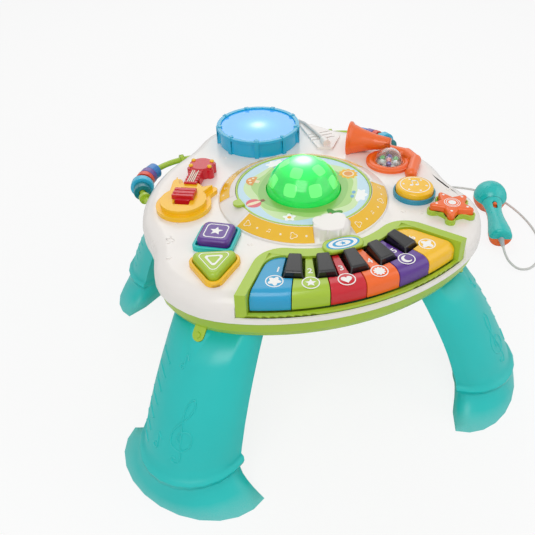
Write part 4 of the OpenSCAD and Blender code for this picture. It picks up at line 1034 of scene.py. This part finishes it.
    def inlays(self):
        """Weather, trees, toadstools and a balloon round the disc, each part in its own ink."""
        top = top_of("picture_disc", 70, 0)
        layers = {}
        for k, picture in enumerate(self.ORDER):
            turn = 360 * k / len(self.ORDER) + 10
            reach = 69.5 if picture == "cloud" else 66.5
            for level, (outline, size, x, y, ink) in enumerate(self.PICTURES[picture]):
                placed = scaled(outline, self.GROWN * size, 0, (self.GROWN * x, self.GROWN * y))
                point = (*polar(reach, turn), top + 0.1 * level)
                layers.setdefault((level, ink), []).append(([placed], point, turn - 90, 0))
        for (level, name), groups in layers.items():
            ink = print_ink(name, linear(self.INKS[name]))
            printed(f"disc_{name}_{level + 1}", groups, "turntable", ink, 0.1)

    def build(self, hues, sizes):
        amber = tinted_polycarbonate("amber", hues.amber, 0.1, clear=0.2)
        moulded("light_ring", amber, edge=0.4, angle=30)
        moulded("disc_rim", gloss_abs("lime", hues.lime), edge=0.4, angle=30)
        moulded("picture_disc", self.landscape(), angle=30)
        green = tinted_polycarbonate("green", hues.green, 0.16, core=((0, 0, 287), 40.0, 1.15))
        moulded("dome_lens", green, angle=34)
        coat("led_boards", finish("led_white", linear("#E9EDEE"), 0.3, 1.0, 0.02, glow=0.6))
        self.ring_marks()
        self.inlays()

        # Facets on the dome: tilt, count, half width and shift of its two rows of rounded pads
        bm = bmesh.new()
        for tilt, count, half, shift in ((31, 5, 7.4, 12), (59, 8, 8.0, 0)):
            for k in range(count):
                self.pad(bm, half, seat(0, 0, DOME_MID, 360 * k / count + shift, tilt, "Y", MM))
        face_out(bm)
        pale = tinted_polycarbonate("pale_green", linear("#7DF08C"), 0.3, core=((0, 0, 288), 34.0, 1.0))
        deliver(bm, "dome_facets", pale, "table", 25)

    def pad(self, bm, half, place):
        """A thin square pad with soft corners, bent over the ball of the dome."""
        outer, inner = DOME_BALL + 0.35, DOME_BALL - 0.5
        grid = bmesh.ops.create_grid(bm, x_segments=8, y_segments=8, size=half)["verts"]
        for vert in grid:
            u, v = vert.co.x / half, vert.co.y / half
            pull = 1 - 0.15 * u * u * v * v
            flat = Vector((vert.co.x * pull, vert.co.y * pull, 0))
            vert.co = flat + Vector((0, 0, sqrt(outer**2 - flat.length_squared)))
        lower, _ = doubled(bm, list({f for v in grid for f in v.link_faces}))
        bmesh.ops.scale(bm, vec=[inner / outer] * 3, verts=lower)
        bmesh.ops.transform(bm, matrix=place, verts=grid + lower)


class TABLE_OT_drum(Pieces, bpy.types.Operator):
    """Blue drum with its lit skin"""

    bl_idname = "table.drum"
    bl_label = "Drum"

    def build(self, hues, sizes):
        aqua = tinted_polycarbonate("aqua", hues.aqua, 0.1, clear=0.3)
        moulded("drum_shell", aqua, edge=0.5, angle=34)
        skin = tinted_polycarbonate("drum_skin", hues.skin, 0.25, core=((*DRUM, 262), 38.0, 0.6), clear=0.15)
        moulded("drum_skin", skin, edge=0.5, angle=34)


class TABLE_OT_guitar(Pieces, bpy.types.Operator):
    """Yellow guitar body with a red neck, strings, pegs and a ribbed slider"""

    bl_idname = "table.guitar"
    bl_label = "Guitar"

    def local(self, s, t):
        """A point along and across the guitar, in the table's millimetres."""
        x, y = polar(1, GUITAR[2])
        return GUITAR[0] + s * x - t * y, GUITAR[1] + s * y + t * x

    def build(self, hues, sizes):
        yellow, red = gloss_abs("yellow", hues.yellow), gloss_abs("red", hues.red)
        moulded("guitar_body", yellow, edge=0.3, angle=36)
        moulded("guitar_neck", red, edge=0.7, angle=34)
        moulded("guitar_slider", red, edge=0.4, angle=30)
        lines = []
        for t in (-3.6, -1.2, 1.2, 3.6):
            run = [self.local(s, t) for s in (33, 46, 60)]
            lines.append([at(x, y, top_of("guitar_neck", x, y) + 0.4) for x, y in run])
        cream = gloss_abs("string_cream", linear("#F7F0DC"))
        wire("guitar_strings", lines, sizes.string, "table", cream)
        bm = bmesh.new()
        for angle in (-120, -60, 60, 120):
            out, over = polar(GUITAR_HEAD[2], angle)
            x, y = self.local(GUITAR_HEAD[0] + out, GUITAR_HEAD[1] + over)
            place = seat(x, y, top_of("guitar_neck", x, y))
            turned(bm, [(0, -0.5), (2.9, -0.5), (2.9, 0.9), (2.3, 1.7), (1.2, 2.1), (0, 2.1)], place, 24)
        deliver(bm, "guitar_pegs", yellow, "table", 40)


class TABLE_OT_horn(Pieces, bpy.types.Operator):
    """Orange horn round a clear rattle dome with loose beads"""

    bl_idname = "table.horn"
    bl_label = "Horn and rattle"

    def build(self, hues, sizes):
        orange = gloss_abs("orange", hues.orange)
        moulded("horn", orange, angle=58)
        # Clear polystyrene: nearly all light passes, with a hard highlight
        glassy = {"IOR": 1.49, "Transmission Weight": 0.95}
        clear = finish("clear_polystyrene", linear("#F4FAFB"), 0.04, 4.0, 0.004, **glassy)
        moulded("rattle_dome", clear, angle=40)
        tints = {"white": "#F6F4F0", "purple": "#7A4BB0", "green": "#5CC04A", "red": "#E0302E"}
        beads = [gloss_abs("rattle_" + name, linear(tint)) for name, tint in tints.items()]
        moulded("rattle_beads", beads, angle=60, order=lambda p: p.x * 7 + p.y * 3)


class TABLE_OT_buttons(Pieces, bpy.types.Operator):
    """Round, star, square and triangle buttons in their cups, with white marks"""

    bl_idname = "table.buttons"
    bl_label = "Buttons"

    STEM_R = 4.5

    def build(self, hues, sizes):
        shoulder = sizes.cap_edge / MM
        square = rounded([(-11.5, -11.5), (11.5, -11.5), (11.5, 11.5), (-11.5, 11.5)], 7.0)
        triangle = rounded([polar(18.5, 120 * k) for k in range(3)], 6.5)
        # Place, turn, base's and cap's colour, the cap's outline and shoulder, and the rounding of the rim
        kinds = {
            "round": (ROUND, 0, hues.petrol, hues.yellow, scaled(CIRCLE, 23.3), shoulder, 0.9),
            "star": (STAR, 20, hues.lime, hues.orange, starfish(23.0, 14.3, 3.3), 0.75 * shoulder, 0.9),
            "square": (SQUARE, -31, hues.teal, hues.purple, square, shoulder, 1.6),
            "triangle": (TRIANGLE, -106, hues.yellow, hues.lime, triangle, shoulder, 1.6),
        }
        ink = print_ink("white", hues.ink)
        unit = scaled(triangle, 1 / 25)
        marks = {
            "round": ring_outlines(CIRCLE, 18.6, 1.0)
            + [scaled(part, 1.0, -14) for part in note_outlines(7.0)]
            + [scaled(CIRCLE, 1.4, shift=polar(14.0, 60 * k + 30)) for k in range(6)],
            "star": [scaled(CIRCLE, 1.5, shift=polar(18.6, 72 * k)) for k in range(5)]
            + ring_outlines(CIRCLE, 9.6, 0.8) + ring_outlines(CIRCLE, 7.4, 0.8) + [scaled(CIRCLE, 4.6)],
            "square": ring_outlines(scaled(square, 1 / 18.5), 12.6, 1.2) + [scaled(STARLET, 7.6)],
            "triangle": ring_outlines(unit, 17.6, 1.1) + ring_outlines(unit, 10.4, 3.4),
        }
        for name, (plan, turn, base, cap, outline, soft, rim) in kinds.items():
            above = (DECK_TOP + 1, DECK_TOP + 20, rim)
            moulded(name + "_base", gloss_abs(name + "_base", base), angle=34, crown=(above,))
            node, body = name + "_cap", name + "_button"
            slot, top = material_slot(node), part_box(node)[1].z / MM
            place = seat(*plan, 0, turn, unit=MM)
            bm = bmesh.new()
            prism(bm, scaled(CIRCLE, self.STEM_R), STEM_LOW, CAP_LOW + 1, place)
            cushion(bm, outline, CAP_LOW, top, soft, place)
            deliver(bm, node + "_moulding", gloss_abs(node, cap), body, 34, (node,))
            printed(name + "_marks", [(marks[name], (*plan, top), turn, 0)], body, ink)


class TABLE_OT_beads(Pieces, bpy.types.Operator):
    """Bent bars at the back corners with six sliding beads on each"""

    bl_idname = "table.beads"
    bl_label = "Bars and beads"

    def build(self, hues, sizes):
        moulded("bead_bars", gloss_abs("lime", hues.lime), angle=50)
        tints = {
            "blue": "#2E7FC8", "purple": "#6B4FA0", "red": "#E2452A", "teal": "#18B7A6", "cyan": "#35B9DC",
            "petrol": "#137C88",
        }
        beads = [gloss_abs("bead_" + name, linear(tint)) for name, tint in tints.items()]
        x, y, z = BAR_MIDDLE
        for name, middle in (("left_beads", at(-x, y, z)), ("right_beads", at(x, y, z))):
            moulded(name, beads, edge=0.8, angle=40, order=lambda p: -(p - middle).normalized().y)


class TABLE_OT_microphone(Pieces, bpy.types.Operator):
    """Teal and orange toy microphone with its cap, switch and strain relief"""

    bl_idname = "table.microphone"
    bl_label = "Microphone"

    # Direction from the front's middle line, in degrees, and distance from the tail
    DOTS = (
        (0, 62), (0, 50), (0, 38), (-42, 30), (42, 34), (-40, 56), (38, 60), (-30, 124), (-20, 128),
        (24, 104), (34, 101), (-38, 106), (44, 124),
    )

    def on_front(self, turn, along, lift=0.0):
        """A point of the front half, or lift mm above it."""
        height = MIC_HEAD_R - MIC_HEAD_S * sin(radians(MIC_TILT))
        place = seat(*MIC_TAIL, height, MIC_TURN, 90 - MIC_TILT, "Y")
        out = Vector((-cos(radians(turn)), sin(radians(turn)), 0))
        start = place @ (Vector((0, 0, along * MM)) + out * 0.05)
        point, normal = hit("mic_front", start, place.to_3x3() @ -out)
        return point + normal * lift * MM

    def build(self, hues, sizes):
        teal, orange = gloss_abs("mic_teal", hues.teal), gloss_abs("mic_orange", hues.orange)
        moulded("mic_front", teal, angle=34)
        moulded("mic_back", orange, angle=34)
        moulded("mic_cap", orange, angle=34)
        moulded("mic_switch", orange, edge=0.4, angle=34)
        pvc = finish("pvc_relief", linear("#B8BDC0"), 0.45, 1.2, 0.04, IOR=1.53)
        moulded("mic_relief", pvc, edge=0.3)

        # Raised waves on the head, a line round the neck in dark teal as painted shade of the groove between
        # head and body, and dots
        waves = [
            [self.on_front(t, low + 7 * cos(radians(2.4 * t + 40))) for t in range(-78, 79, 6)]
            for low in (110, 114)
        ]
        wire("microphone_waves", waves, 0.55 * MM, "microphone", teal)
        neck = [[self.on_front(t, 96.5) for t in range(-86, 87, 4)]]
        shade = gloss_abs("mic_shadow", linear("#0E8C8C"))
        wire("microphone_neck", neck, 0.45 * MM, "microphone", shade)
        bm = bmesh.new()
        for turn, along in self.DOTS:
            ball = bmesh.ops.create_icosphere(bm, subdivisions=2, radius=1.3 * MM)["verts"]
            bmesh.ops.translate(bm, vec=self.on_front(turn, along, -0.5), verts=ball)
        deliver(bm, "microphone_dots", teal, "microphone", 60)


class TABLE_OT_insides(Pieces, bpy.types.Operator):
    """Screws, battery door, cells, contacts, boards, rubber domes and the speaker"""

    bl_idname = "table.insides"
    bl_label = "Works and underside"

    def build(self, hues, sizes):
        # Zinc-plated steel: bright, with a fine turned grain
        steel = finish("zinc_plated_steel", linear("#C4C7C9"), 0.3, 0.4, 0.02, Metallic=1.0)
        # Nickel-plated spring steel
        nickel = finish("nickel_plate", linear("#D0CCC2"), 0.22, 0.6, 0.01, Metallic=1.0)
        # Glass-fibre board under green solder mask
        board = finish("solder_mask", linear("#2E7D4F"), 0.35, 0.7, 0.02, mottle=0.12)
        rubber = finish("silicone_rubber", linear("#5B5F63"), 0.6, 0.8, 0.03)
        moulded("case_screws", steel, edge=0.2)
        moulded("battery_door_screw", steel, edge=0.15)
        moulded("battery_door", gloss_abs("lime", hues.lime), edge=0.4)
        coat("batteries", finish("battery_sleeve", linear("#3A3F45"), 0.3, 1.5, 0.01, mottle=0.1))
        coat("battery_contacts", nickel)
        coat("main_board", board)
        coat("contact_boards", board)
        coat("rubber_contacts", rubber)
        coat("speaker", finish("pressed_steel_basket", linear("#4A4D52"), 0.4, 0.6, 0.03, Metallic=0.8))
        coat("speaker_cone", finish("paper_cone", linear("#26282B"), 0.8, 0.7, 0.08, mottle=0.15))


class TABLE_PT_pieces(bpy.types.Panel):
    """The table's pieces and what can be changed on them"""

    bl_idname = "TABLE_PT_pieces"
    bl_label = "Musical activity table"
    bl_space_type = "VIEW_3D"
    bl_region_type = "UI"
    bl_category = "Table"

    def draw(self, context):
        for operator in OPERATORS:
            self.layout.operator(operator.bl_idname)
        for group in (context.scene.table_colours, context.scene.table_sizes):
            for name in group.__annotations__:
                self.layout.prop(group, name)


OPERATORS = (
    TABLE_OT_stage, TABLE_OT_cord, TABLE_OT_deck, TABLE_OT_legs, TABLE_OT_keys, TABLE_OT_disc, TABLE_OT_drum,
    TABLE_OT_guitar, TABLE_OT_horn, TABLE_OT_buttons, TABLE_OT_beads, TABLE_OT_microphone, TABLE_OT_insides,
)
CLASSES = (TableColours, TableSizes, *OPERATORS, TABLE_PT_pieces)


def register():
    for cls in CLASSES:
        bpy.utils.register_class(cls)
    bpy.types.Scene.table_colours = bpy.props.PointerProperty(type=TableColours)
    bpy.types.Scene.table_sizes = bpy.props.PointerProperty(type=TableSizes)


def unregister():
    del bpy.types.Scene.table_sizes
    del bpy.types.Scene.table_colours
    for cls in reversed(CLASSES):
        bpy.utils.unregister_class(cls)


def main():
    register()
    for operator in OPERATORS:
        group, name = operator.bl_idname.split(".")
        getattr(getattr(bpy.ops, group), name)()


if __name__ == "__main__":
    main()
